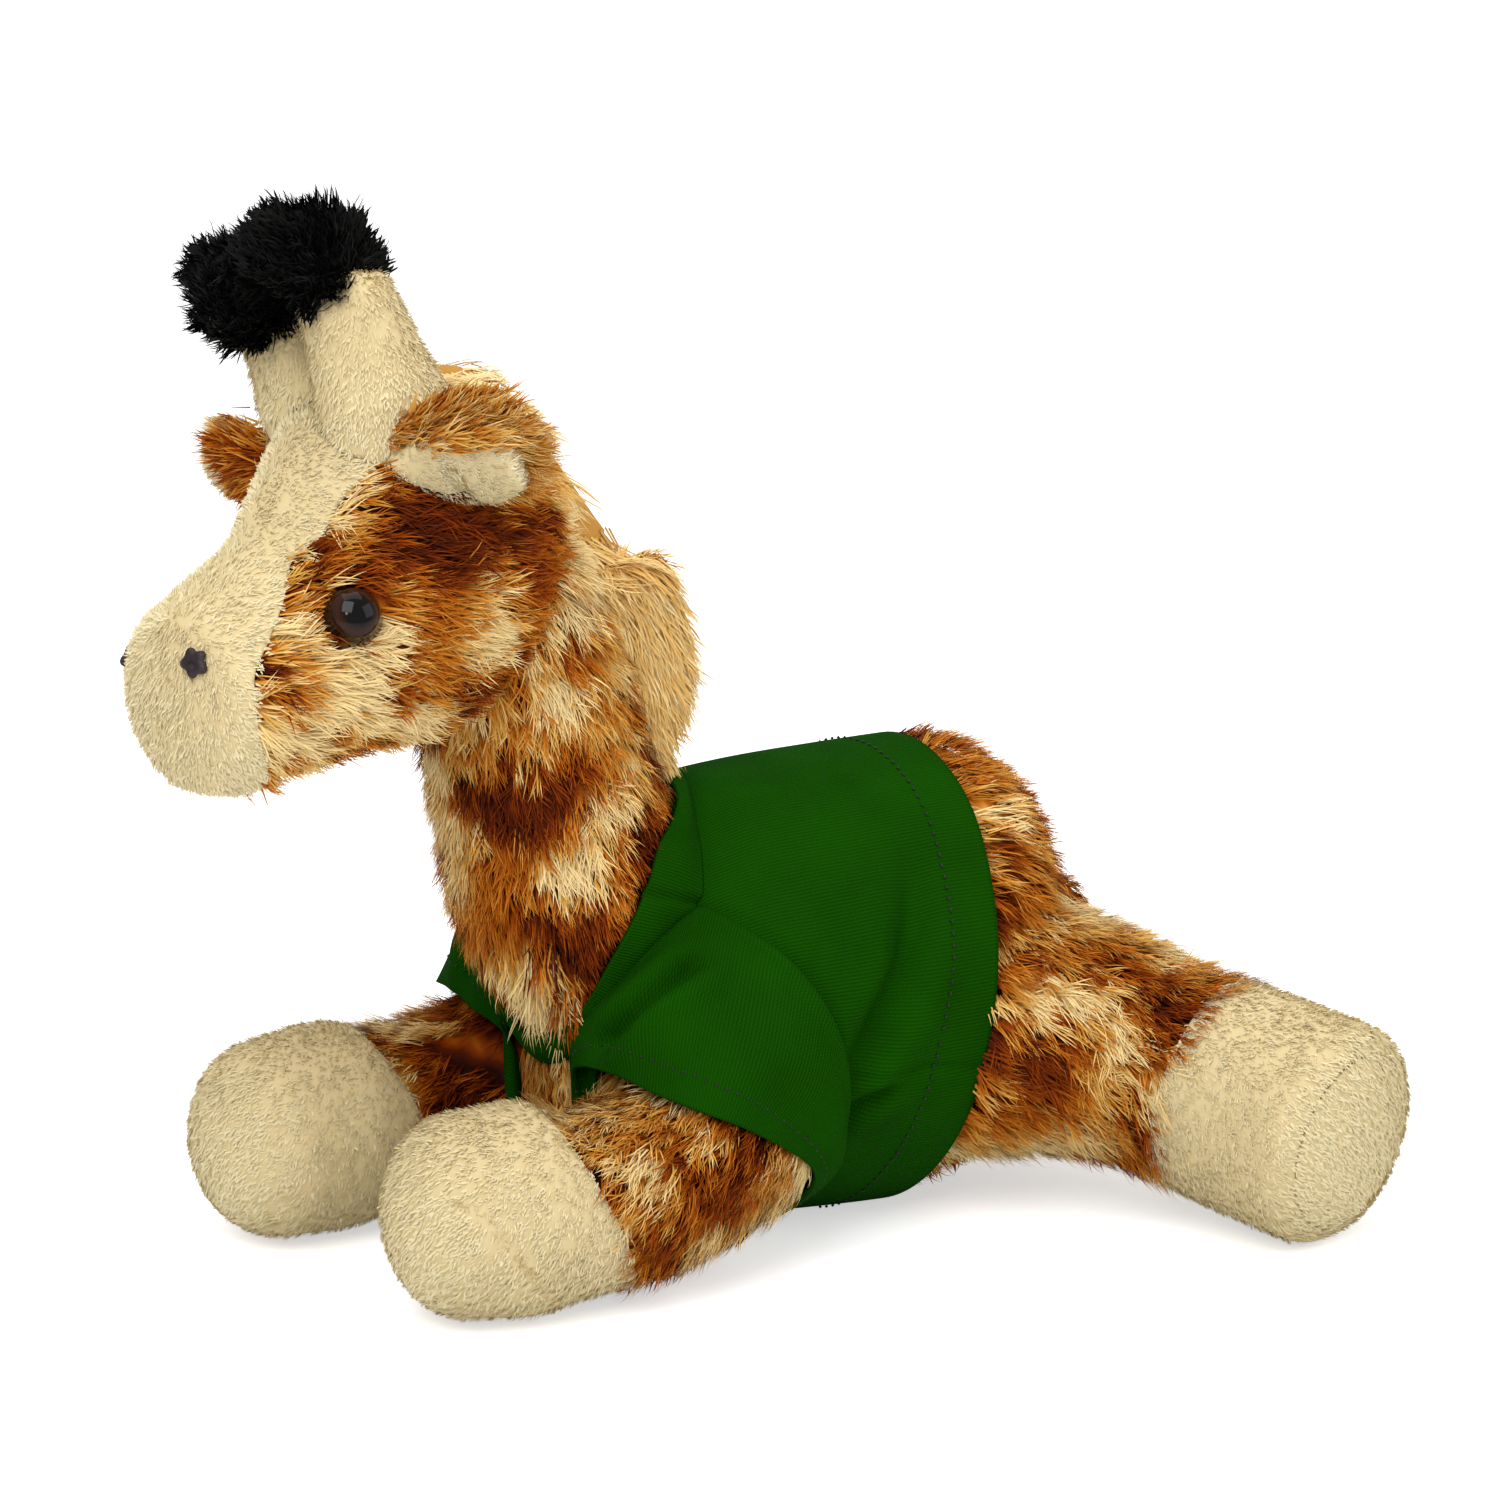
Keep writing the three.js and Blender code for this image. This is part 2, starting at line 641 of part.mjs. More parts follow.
// [back from the neck's spine by its depth, up by its rise, depth]
const neckManeShares = [
  [1.22, 0.97, 0.93],
  [1.1, 0.78, 0.93],
  [1.02, 0.62, 0.6],
  [1, 0.5, 0.3],
];
const neckSpine = new THREE.CatmullRomCurve3(neckStations.map(({ at }) => at));
const neckManeStations = neckManeShares.map(([back, up, depth]) => {
  const at = neckSpine.getPoint(up).clone();
  return {
    at: new THREE.Vector3(at.x + back * NECK_HALF_DEPTH, 0, at.z),
    half: [MANE_HALF_WIDTH, MANE_HALF_DEPTH * depth],
  };
});
const neckMane = swell(neckManeStations, { domes: [MANE_DOME, MANE_DOME / 2], facets: SMALL_FACETS });
add(neck, "mane_neck", cut(toSolid(neckMane), [
  neckForm(SEAM_GAP),
  ...childPaths(headForm(JOINT_GAP), headJoint),
  ...childPaths(headMane(JOINT_GAP), headJoint),
  ...parentPaths(torsoForm(clothOutside + JOINT_GAP), neckJoint),
]), "mane");

// Head: fur skin and face panel over one stuffing, the neck's opening below
const head = body("head", neck, headJoint);
const skull = cut(toSolid(headForm(0)), [
  headForm(-SKIN, INNER_FACETS),
  neckForm(-NECK_OPENING_INSET),
]);

const eyes = sides.map(({ side }) => {
  const seat = seatOn(headForm(0), inHead(EYE_FORWARD, 0, EYE_UP), headWay(0, side, 0));
  const dome = lathe([
    [0, -SHANK_LENGTH],
    [SHANK_RADIUS, -SHANK_LENGTH],
    [SHANK_RADIUS, 0],
    [EYE_RADIUS, 0],
    [EYE_RADIUS, EYE_RIM],
    ...[0.25, 0.5, 0.75].map((share) => [
      EYE_RADIUS * Math.cos((share * Math.PI) / 2),
      EYE_RIM + (EYE_DOME - EYE_RIM) * Math.sin((share * Math.PI) / 2),
    ]),
    [0, EYE_DOME],
  ]);
  const shankHole = new THREE.CylinderGeometry(
    SHANK_RADIUS + SEAM_GAP,
    SHANK_RADIUS + SEAM_GAP,
    2 * (SHANK_LENGTH + SEAM_GAP),
    TURNED_FACETS,
  ).rotateX(Math.PI / 2);
  const washer = lathe([
    [SHANK_RADIUS + SEAM_GAP, 0],
    [WASHER_RADIUS, 0],
    [WASHER_RADIUS, WASHER_THICKNESS],
    [SHANK_RADIUS + SEAM_GAP, WASHER_THICKNESS],
    [SHANK_RADIUS + SEAM_GAP, 0],
  ]);
  const washerLift = -SKIN - WASHER_DEPTH - WASHER_THICKNESS;
  const roomTo = (top) => lathe([
    [0, -SEAM_GAP],
    [WASHER_RADIUS + SEAM_GAP, -SEAM_GAP],
    [WASHER_RADIUS + SEAM_GAP, top],
    [0, top],
  ]);
  return {
    dome: setOn(seat, EYE_LIFT, dome),
    hole: setOn(seat, 0, shankHole),
    washer: setOn(seat, washerLift, washer),
    washerRoom: setOn(seat, washerLift, roomTo(-washerLift)),
    washerClear: setOn(seat, washerLift, roomTo(WASHER_THICKNESS + SEAM_GAP)),
  };
});
const shankHoles = eyes.map(({ hole }) => hole);
const skinCuts = eyes.flatMap(({ hole, washerClear }) => [hole, washerClear]);
add(head, "head_skin", cut(skull, [faceRegion(0), faceRegion(SEAM_GAP), ...skinCuts]), "fur");
add(head, "face_panel", cut(keep(skull, faceRegion(0)), skinCuts), "cream");
add(head, "head_stuffing", cut(toSolid(headForm(stuffed, INNER_FACETS)), [
  ...shankHoles,
  ...eyes.map(({ washerRoom }) => washerRoom),
]), "stuffing");

// Horns: a plush stem with a tuft of long pile that falls forward
const horns = sides.map(({ side }) => {
  const lean = degToRad(HORN_LEAN_DEGREES);
  const rise = new THREE.Vector3(-Math.sin(lean), 0, Math.cos(lean));
  const pile = side < 0 ? LEFT_TUFT : RIGHT_TUFT;
  const root = new THREE.Vector3(-HORN_BASE_FORWARD, (side * HORN_SPACING) / 2, HORN_BASE_UP);
  const station = (share, radius) => ({
    at: root.clone().addScaledVector(rise, HORN_LENGTH * share),
    half: [radius, radius],
  });
  const middleRadius = (HORN_BASE_RADIUS + HORN_TOP_RADIUS) / 2;
  const stations = [station(0, HORN_BASE_RADIUS), station(0.5, middleRadius), station(1, HORN_TOP_RADIUS)];
  const domes = [HORN_DOME, HORN_DOME];
  const form = (grow) => placed(swell(stations, { grow, domes, facets: SMALL_FACETS }), headPlace);
  const top = root.clone().addScaledVector(rise, HORN_LENGTH + pile.rise);
  top.x -= pile.fall;
  const tuftAt = (slide) => top.clone().add(new THREE.Vector3(slide * TUFT_HALF_LENGTH, 0, 0));
  const half = [TUFT_HALF_WIDTH, pile.halfHeight];
  const tuftStations = [1, 0, -1].map((slide) => ({ at: tuftAt(slide), half }));
  const tuftDomes = [TUFT_DOME, TUFT_DOME];
  const tuft = (grow) => placed(swell(tuftStations, { grow, domes: tuftDomes, facets: SMALL_FACETS }), headPlace);
  return { form, tuft };
});
add(head, "mane_head", cut(toSolid(headMane(0)), [
  headForm(SEAM_GAP),
  ...horns.map(({ form }) => form(SEAM_GAP)),
  ...parentPaths(neckForm(JOINT_GAP), headJoint),
]), "mane");
horns.forEach(({ form, tuft }, i) => {
  const earlier = horns.slice(0, i);
  const stemCuts = [headForm(SEAM_GAP), ...earlier.map((horn) => horn.form(SEAM_GAP))];
  add(head, `horn_stem_${sides[i].name}`, cut(toSolid(form(0)), stemCuts), "cream");
  add(head, `horn_tuft_${sides[i].name}`, cut(toSolid(tuft(0)), [
    ...horns.map((horn) => horn.form(SEAM_GAP)),
    ...earlier.map((horn) => horn.tuft(SEAM_GAP)),
  ]), "black");
});

// Eyes on their shanks, lock washers inside the skin, and the nostrils' embroidered rosettes
sides.forEach(({ name, side }, i) => {
  add(head, `eye_${name}`, toSolid(eyes[i].dome), "eye");
  add(head, `eye_washer_${name}`, toSolid(eyes[i].washer), "plastic");
  const aim = inHead(MUZZLE_REACH / 2, (side * NOSTRIL_SPACING) / 2, NOSTRIL_UP);
  const seat = seatOn(headForm(0), aim, headWay(1, 0, 0));
  add(head, `nostril_${name}`, toSolid(setOn(seat, SEAM_GAP, lathe([
    [0, 0],
    [NOSTRIL_RADIUS, 0],
    [NOSTRIL_RADIUS * 0.9, NOSTRIL_THICKNESS * 0.6],
    [0, NOSTRIL_THICKNESS],
  ]))), "thread");
});

// Ears: a furry leaf, its upper edge tilted ahead, with a lining in its forward face;
// each is free to flop about the head's upright
const earShares = [[0, 0.5], [0.35, 0.9], [0.65, 1], [0.9, 0.66]];
const liningShares = [[0.08, 0.45], [0.4, 0.95], [0.7, 1], [0.95, 0.7]];
const earJoints = sides.map(({ side }) => {
  const seat = seatOn(headForm(0), inHead(EAR_FORWARD, 0, EAR_UP), headWay(0, side, 0));
  return { pivot: seat.point, axis: headWay(0, 0, 1), range: EAR_RANGE };
});
sides.forEach(({ name, side }, i) => {
  const joint = earJoints[i];
  const ear = body(`ear_${name}`, head, joint);
  const sweep = degToRad(EAR_SWEEP_DEGREES[name]);
  const way = new THREE.Vector3(Math.sin(sweep), side * Math.cos(sweep), 0);
  const ahead = new THREE.Vector3(-Math.cos(sweep), side * Math.sin(sweep), 0);
  const root = joint.pivot.clone().applyMatrix4(headPlace.clone().invert());
  root.addScaledVector(way, -EAR_ROOT_INSIDE);
  const leafPlace = headPlace.clone().multiply(new THREE.Matrix4().makeTranslation(root));
  leafPlace.multiply(new THREE.Matrix4().makeRotationAxis(way, degToRad(-side * EAR_TILT_DEGREES)));
  const leaf = (shares, length, halfWidth, thickness, shift, grow) => placed(swell(
    shares.map(([along, width]) => ({
      at: way.clone().multiplyScalar(EAR_ROOT_INSIDE + length * along).addScaledVector(ahead, shift),
      half: [thickness / 2, halfWidth * width],
    })),
    { grow, domes: [EAR_ROOT_INSIDE, length * (1 - shares[shares.length - 1][0])], facets: SMALL_FACETS },
  ), leafPlace);
  const back = (grow) => leaf(earShares, EAR_LENGTH, EAR_HALF_WIDTH, EAR_BACK_THICKNESS, 0, grow);
  const liningShift = (EAR_BACK_THICKNESS + EAR_LINING_THICKNESS) / 2;
  const lining = leaf(
    liningShares,
    EAR_LINING_LENGTH,
    EAR_LINING_HALF_WIDTH,
    EAR_LINING_THICKNESS,
    liningShift,
    0,
  );
  const headPaths = [headForm(JOINT_GAP), horns[i].form(JOINT_GAP)].flatMap((shape) => parentPaths(shape, joint));
  add(ear, `ear_back_${name}`, cut(toSolid(back(0)), headPaths), "fur");
  add(ear, `ear_lining_${name}`, cut(toSolid(lining), [back(SEAM_GAP), ...headPaths]), "cream");
});

// Front legs, each with its sleeve; both swing about an upright through the shoulder
const neckSweeps = childPaths(neckForm(JOINT_GAP), neckJoint);
const innerNeckSweeps = childPaths(neckForm(recess, INNER_FACETS), neckJoint);
sides.forEach(({ name, side }, i) => {
  const { stations, joint, form, sleeve } = frontLegs[i];
  const leg = body(`front_leg_${name}`, giraffe, joint);
  const neckCutsHere = neckSweeps.flatMap((shape) => parentPaths(shape, joint));
  const rootCuts = [...parentPaths(torsoForm(JOINT_GAP), joint), ...neckCutsHere];
  const hoofPlane = crossPlane(stations, frontHoofShare, 0, HOOF_SEAM_LEAN);
  const shell = cut(toSolid(form(0)), [form(-SKIN, INNER_FACETS), underFloor, ...rootCuts]);
  add(leg, `front_leg_skin_${name}`, cut(shell, [beyondPlane(hoofPlane)]), "fur");
  add(leg, `front_hoof_${name}`, cut(shell, [beforePlane(hoofPlane, SEAM_GAP)]), "cream");
  add(leg, `front_leg_stuffing_${name}`, cut(toSolid(form(stuffed, INNER_FACETS)), [
    ...parentPaths(innerTorso, joint),
    ...innerNeckSweeps.flatMap((shape) => parentPaths(shape, joint)),
  ]), "stuffing");
  const spine = crossPlane(stations, sleeveHemShare);
  const hemWay = new THREE.Vector3(SLEEVE_HEM_WAY[0], side * SLEEVE_HEM_WAY[1], SLEEVE_HEM_WAY[2]);
  add(leg, `sleeve_${name}`, cut(toSolid(sleeve(SLEEVE_EASE + SHIRT_CLOTH)), [
    sleeve(SLEEVE_EASE),
    beyond(spine.point, hemWay),
    underFloor,
    ...parentPaths(torsoForm(clothOutside + JOINT_GAP), joint),
    ...neckCutsHere,
  ]), "shirt");
});

// Hind legs, each ending in a hoof with a sewn-on sole
sides.forEach(({ name }, i) => {
  const { stations, joint, form } = hindLegs[i];
  const leg = body(`hind_leg_${name}`, giraffe, joint);
  const shirtSkirt = toGeometry(cut(toSolid(torsoForm(clothOutside + JOINT_GAP)), [
    beyondPlane(hemPlane, JOINT_GAP),
  ]));
  const rootCuts = [...parentPaths(torsoForm(JOINT_GAP), joint), ...parentPaths(shirtSkirt, joint)];
  const hoofPlane = crossPlane(stations, hindHoofShare);
  const solePlane = crossPlane(stations, 1, HIND_HOOF_DOME - SOLE_DEPTH);
  const shell = cut(toSolid(form(0)), [form(-SKIN, INNER_FACETS), underFloor, ...rootCuts]);
  add(leg, `hind_leg_skin_${name}`, cut(shell, [beyondPlane(hoofPlane)]), "fur");
  add(leg, `hind_hoof_${name}`, cut(shell, [
    beforePlane(hoofPlane, SEAM_GAP),
    beyondPlane(solePlane),
  ]), "cream");
  add(leg, `hind_sole_${name}`, cut(shell, [beforePlane(solePlane, SEAM_GAP)]), "cream");
  add(leg, `hind_leg_stuffing_${name}`, cut(toSolid(form(stuffed, INNER_FACETS)), [
    ...parentPaths(innerTorso, joint),
    ...parentPaths(beforePlane(hemPlane, recess), joint),
  ]), "stuffing");
});

// Tail: a cord of fur with a tuft, free to lift behind the rump
const rumpSeat = seatOn(torsoForm(0), new THREE.Vector3(0, 0, TAIL_ROOT_Z), X_AXIS);
const tailJoint = { pivot: rumpSeat.point, axis: Y_AXIS.clone().negate(), range: TAIL_RANGE };
const tail = body("tail", giraffe, tailJoint);
const tailShares = [[-0.2, -0.06], [0.55, 0.12], [0.92, 0.45], [1, 1]];
const tailStations = tailShares.map(([back, down]) => ({
  at: rumpSeat.point.clone().add(new THREE.Vector3(TAIL_SET_BACK * back, 0, -TAIL_DROP * down)),
  half: [TAIL_RADIUS, TAIL_RADIUS],
}));
const tuftShares = [[0, 0.7], [0.5, 1], [1, 0.6]];
const tuftStations = tuftShares.map(([along, girth]) => ({
  at: tailStations[tailStations.length - 1].at.clone().add(new THREE.Vector3(
    TAIL_DOME * along,
    0,
    -TAIL_DOME - SEAM_GAP - TAIL_TUFT_LENGTH * along,
  )),
  half: [TAIL_TUFT_RADIUS * girth, TAIL_TUFT_RADIUS * girth],
}));
function tailForm(grow) {
  return swell(tailStations, { grow, domes: [TAIL_DOME, TAIL_DOME], facets: SMALL_FACETS });
}
add(tail, "tail_skin", cut(toSolid(tailForm(0)), parentPaths(torsoForm(JOINT_GAP), tailJoint)), "fur");
add(tail, "tail_tuft", cut(
  toSolid(swell(tuftStations, { domes: [TAIL_DOME, TAIL_DOME], facets: SMALL_FACETS })),
  [tailForm(SEAM_GAP)],
), "black");

// The origin: under the middle of the whole, on the floor
const bounds = new THREE.Box3().setFromObject(giraffe);
giraffe.position.set(-(bounds.min.x + bounds.max.x) / 2, -(bounds.min.y + bounds.max.y) / 2, -bounds.min.z);
giraffe.updateMatrixWorld(true);

export default giraffe;
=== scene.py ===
"""The looks of a stuffed giraffe lying on its belly in a jersey T-shirt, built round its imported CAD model.

Lengths are millimetres in the design frame of the CAD source, where the giraffe looks towards -X, until a
mesh is made: row() turns them into metres in the row frame.
"""
import json
import math

import bpy
import numpy as np
from mathutils import Matrix, Vector
from mathutils.bvhtree import BVHTree


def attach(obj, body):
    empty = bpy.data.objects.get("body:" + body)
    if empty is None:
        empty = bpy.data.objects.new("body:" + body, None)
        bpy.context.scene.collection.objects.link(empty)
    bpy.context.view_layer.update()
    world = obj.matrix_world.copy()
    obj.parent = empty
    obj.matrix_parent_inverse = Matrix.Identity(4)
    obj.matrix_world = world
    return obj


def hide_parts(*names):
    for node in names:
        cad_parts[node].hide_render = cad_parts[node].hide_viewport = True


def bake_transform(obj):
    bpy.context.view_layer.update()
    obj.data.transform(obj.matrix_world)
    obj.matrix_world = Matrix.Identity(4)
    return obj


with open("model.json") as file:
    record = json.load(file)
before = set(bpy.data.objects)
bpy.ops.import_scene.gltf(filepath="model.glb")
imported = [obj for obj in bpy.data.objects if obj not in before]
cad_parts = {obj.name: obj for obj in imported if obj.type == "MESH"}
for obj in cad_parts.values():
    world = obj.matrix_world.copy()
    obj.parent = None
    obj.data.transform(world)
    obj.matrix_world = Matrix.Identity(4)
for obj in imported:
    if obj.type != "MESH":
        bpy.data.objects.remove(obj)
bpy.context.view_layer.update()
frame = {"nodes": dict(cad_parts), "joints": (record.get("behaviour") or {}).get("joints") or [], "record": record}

MM = 0.001
X_AXIS = np.array([1.0, 0.0, 0.0])
Z_AXIS = np.array([0.0, 0.0, 1.0])
rng = np.random.default_rng(7)

# The design frame, found again from the neck's joint
NECK_ROOT = np.array([-43.0, 0.0, 50.0])
pivots = {j["name"]: np.array(j["pos_m"]) / MM for j in frame["joints"]}
SHIFT = pivots["neck_bend"] - NECK_ROOT
PIVOT = {name: at - SHIFT for name, at in pivots.items()}
JOINT = {j["name"]: j for j in frame["joints"]}


def row(points):
    return (np.asarray(points, float) + SHIFT) * MM


def unit(vectors):
    vectors = np.asarray(vectors, float)
    return vectors / np.maximum(np.linalg.norm(vectors, axis=-1, keepdims=True), 1e-12)


def vec(*values):
    return np.array(values, float)


def ease(values, low, high):
    """A smooth step from 0 at low to 1 at high."""
    share = np.clip((values - low) / (high - low), 0, 1)
    return share * share * (3 - 2 * share)


def bell(distance, width):
    return np.exp(-((distance / width) ** 2))


# Camera: the photograph's angle, then floor, backdrop and lamps
VIEW_AZIMUTH = math.radians(-30)
VIEW_ELEVATION = math.radians(15)
VIEW_DISTANCE = 1100.0
VIEW_TARGET = vec(-25.0, -8.0, 81.5)
FRAME_PIXELS = 1500
FOCAL_PIXELS = 6666
SENSOR = 36.0


def make_camera():
    camera = bpy.data.objects.new("camera", bpy.data.cameras.new("camera"))
    bpy.context.scene.collection.objects.link(camera)
    flat = math.cos(VIEW_ELEVATION)
    back = Vector((
        math.sin(VIEW_AZIMUTH) * flat,
        -math.cos(VIEW_AZIMUTH) * flat,
        math.sin(VIEW_ELEVATION),
    ))
    camera.location = Vector(row(VIEW_TARGET)) + back * VIEW_DISTANCE * MM
    camera.rotation_euler = back.to_track_quat("Z", "Y").to_euler()
    camera.data.sensor_width = SENSOR
    camera.data.lens = FOCAL_PIXELS * SENSOR / FRAME_PIXELS
    camera.data.clip_start = 0.01
    camera.data.clip_end = 20
    bpy.context.scene.camera = camera


make_camera()
bpy.context.scene.view_settings.view_transform = "Standard"


# Node helpers
def put(made, **inputs):
    """Sets a node's inputs to constants, or links outputs of other nodes to them."""
    for key, value in inputs.items():
        socket = made.inputs[key.replace("_", " ")]
        if isinstance(value, bpy.types.NodeSocket):
            made.id_data.links.new(value, socket)
        else:
            socket.default_value = value
    return made


def add(tree, kind, **inputs):
    return put(tree.nodes.new("ShaderNode" + kind), **inputs)


def calc(operation, a, b=0, clamp=False):
    """A math node on another node's output and an output or a number."""
    made = add(a.id_data, "Math")
    made.operation = operation
    made.use_clamp = clamp
    a.id_data.links.new(a, made.inputs[0])
    if isinstance(b, (int, float)):
        made.inputs[1].default_value = b
    else:
        a.id_data.links.new(b, made.inputs[1])
    return made.outputs[0]


def times(a, b):
    return calc("MULTIPLY", a, b)


def plus(a, b, clamp=False):
    return calc("ADD", a, b, clamp)


def attribute(tree, name):
    made = add(tree, "Attribute")
    made.attribute_name = name
    return made.outputs["Fac"]


def texture(tree, scale, kind="TexNoise", out="Fac", **inputs):
    """A texture's output, laid in the object's own coordinates."""
    where = add(tree, "TexCoord").outputs["Object"]
    return add(tree, kind, Scale=scale, Vector=where, **inputs).outputs[out]


def linear(colour):
    shares = [channel / 255 for channel in colour]
    return tuple(s / 12.92 if s <= 0.04045 else ((s + 0.055) / 1.055) ** 2.4 for s in shares) + (1.0,)


def ramp(value, stops):
    made = add(value.id_data, "ValToRGB", Fac=value)
    elements = made.color_ramp.elements
    while len(elements) < len(stops):
        elements.new(0.5)
    for element, (place, colour) in zip(elements, stops):
        element.position = place
        element.color = linear(colour)
    return made.outputs["Color"]


def bump(shader, height, distance):
    made = add(shader.id_data, "Bump", Strength=1.0, Distance=distance, Height=height)
    put(shader, Normal=made.outputs["Normal"])


def material(name, roughness=0.9):
    made = bpy.data.materials.new(name)
    made.use_nodes = True
    return made, made.node_tree, put(made.node_tree.nodes["Principled BSDF"], Roughness=roughness)


def simple_material(name, roughness, pattern, stops, relief=None, depth=0.0):
    """A material coloured and raised by patterns, each given as a function of the node tree."""
    made, tree, shader = material(name, roughness)
    put(shader, Base_Color=ramp(pattern(tree), stops))
    if relief:
        bump(shader, relief(tree), depth)
    return made


# Materials
FUR_STOPS = [
    (0.0, (236, 210, 150)),
    (0.2, (216, 166, 78)),
    (0.42, (188, 108, 20)),
    (0.62, (144, 60, 0)),
    (0.8, (86, 27, 0)),
    (1.0, (40, 8, 0)),
]
CREAM_STOPS = [(0.0, (198, 175, 126)), (0.5, (226, 211, 167)), (1.0, (237, 227, 192))]
MANE_STOPS = [(0.0, (150, 92, 28)), (0.35, (206, 156, 76)), (0.7, (228, 188, 112)), (1.0, (242, 220, 166))]
BLACK_STOPS = [(0.0, (2, 2, 2)), (0.7, (9, 9, 8)), (1.0, (26, 25, 23))]


def pile_material(name, stops, root_gain, chance_gain, sheen, sheen_tint, roughness=0.75):
    """Pile whose colour follows each strand's tone, how far along the strand it is, and chance."""
    made, tree, shader = material(name)
    along = times(attribute(tree, "along"), root_gain)
    streak = times(plus(attribute(tree, "chance"), -0.5), chance_gain)
    mixed = plus(plus(attribute(tree, "tone"), along), streak, clamp=True)
    put(
        shader, Base_Color=ramp(mixed, stops),
        Roughness=plus(times(texture(tree, 900.0), 0.2), roughness - 0.1),
        Sheen_Weight=sheen, Sheen_Roughness=0.4, Sheen_Tint=linear(sheen_tint), Specular_IOR_Level=0.08,
    )
    return made


FUR = pile_material("fur_pile", FUR_STOPS, -0.3, 0.3, 0.0, (255, 190, 110))
CREAM = pile_material("cream_pile", CREAM_STOPS, 0.22, 0.26, 0.08, (255, 240, 205))
MANE = pile_material("mane_pile", MANE_STOPS, 0.25, 0.4, 0.08, (255, 220, 160))
BLACK = pile_material("black_pile", BLACK_STOPS, 0.4, 0.5, 0.02, (150, 150, 150), 0.5)

JERSEY_STOPS = [(0.1, (11, 50, 0)), (0.75, (21, 82, 0))]
WALE_PITCH = 0.56
COURSE_PITCH = 0.46


def jersey_material():
    made, tree, shader = material("jersey_knit")
    wale = times(attribute(tree, "wale"), 2 * math.pi / WALE_PITCH)
    course = times(attribute(tree, "course"), 2 * math.pi / COURSE_PITCH)
    ribs = calc("SINE", plus(wale, times(calc("SINE", course), 0.6)))
    height = plus(times(ribs, 0.5), 0.5)
    # painted shade: the rib crests are coloured lighter and the grooves between them darker; the noise is the
    # cloth's own mottle
    rib_shade_and_mottle = plus(times(height, 0.24), times(texture(tree, 60.0, Detail=3.0), 0.5))
    bump(shader, plus(height, times(texture(tree, 2500.0), 0.5)), 0.00012)
    rough = plus(times(height, -0.1), 0.9)
    put(shader, Base_Color=ramp(rib_shade_and_mottle, JERSEY_STOPS), Roughness=rough, Specular_IOR_Level=0.02)
    return made


def eye_material():
    made, tree, shader = material("eye_gloss")
    stops = [(0.0, (8, 7, 7)), (0.55, (10, 8, 7)), (0.8, (52, 26, 12)), (1.0, (30, 14, 8))]
    rough = plus(times(texture(tree, 1500.0), 0.05), 0.03)
    put(shader, Base_Color=ramp(attribute(tree, "rim"), stops), Roughness=rough, Specular_IOR_Level=0.2)
    return made


JERSEY = jersey_material()
JERSEY_THREAD = simple_material(
    "jersey_thread", 0.7, lambda tree: texture(tree, 1200.0), [(0.3, (2, 16, 0)), (0.8, (6, 36, 0))],
)
EYE = eye_material()
# painted highlight and shade: the thread is coloured lighter on its stitch ridges and darker between them
NOSTRIL_THREAD = simple_material(
    "nostril_thread", 0.55, lambda tree: attribute(tree, "stitch"),
    [(0.0, (14, 6, 10)), (0.6, (36, 20, 25)), (1.0, (66, 42, 46))],
    lambda tree: attribute(tree, "stitch"), 0.0001,
)
BATTING = simple_material(
    "polyester_batting", 0.95, lambda tree: plus(texture(tree, 400.0, Detail=4.0), -0.1),
    [(0.2, (226, 222, 212)), (0.8, (250, 249, 245))], lambda tree: texture(tree, 900.0, Detail=4.0), 0.0006,
)
POUCH = simple_material(
    "pellet_cloth", 0.9, lambda tree: texture(tree, 420.0, "TexVoronoi", "Distance"),
    [(0.1, (222, 218, 208)), (0.7, (188, 182, 170))],
    lambda tree: texture(tree, 420.0, "TexVoronoi", "Distance"), 0.0008,
)
WASHER = simple_material(
    "washer_plastic", 0.45, lambda tree: texture(tree, 700.0),
    [(0.3, (222, 220, 214)), (0.8, (238, 236, 230))], lambda tree: texture(tree, 2000.0), 0.00004,
)


# Forms: elliptic rings on a smooth spine, closed by domes, as in the CAD source
def curve_points(ends, shares):
    """A centripetal Catmull-Rom curve through the points, at shares of its parameter."""
    ends = np.asarray(ends, float)
    shares = np.clip(np.asarray(shares, float), 0, 1)
    spans = len(ends) - 1
    place = shares * spans
    span = np.minimum(place.astype(int), spans - 1)
    part = (place - span)[:, None]
    extended = np.vstack([2 * ends[0] - ends[1], ends, 2 * ends[-1] - ends[-2]])
    a, b, c, d = (extended[span + i] for i in range(4))

    def gap(one, other):
        return (((one - other) ** 2).sum(1) ** 0.25)[:, None]

    middle = gap(b, c)
    middle = np.where(middle < 1e-4, 1.0, middle)
    before = np.where(gap(a, b) < 1e-4, middle, gap(a, b))
    after = np.where(gap(c, d) < 1e-4, middle, gap(c, d))
    lead = ((b - a) / before - (c - a) / (before + middle) + (c - b) / middle) * middle
    trail = ((c - b) / middle - (d - b) / (middle + after) + (d - c) / after) * middle
    square = -3 * b + 3 * c - 2 * lead - trail
    cube = 2 * b - 2 * c + lead + trail
    return b + lead * part + square * part**2 + cube * part**3


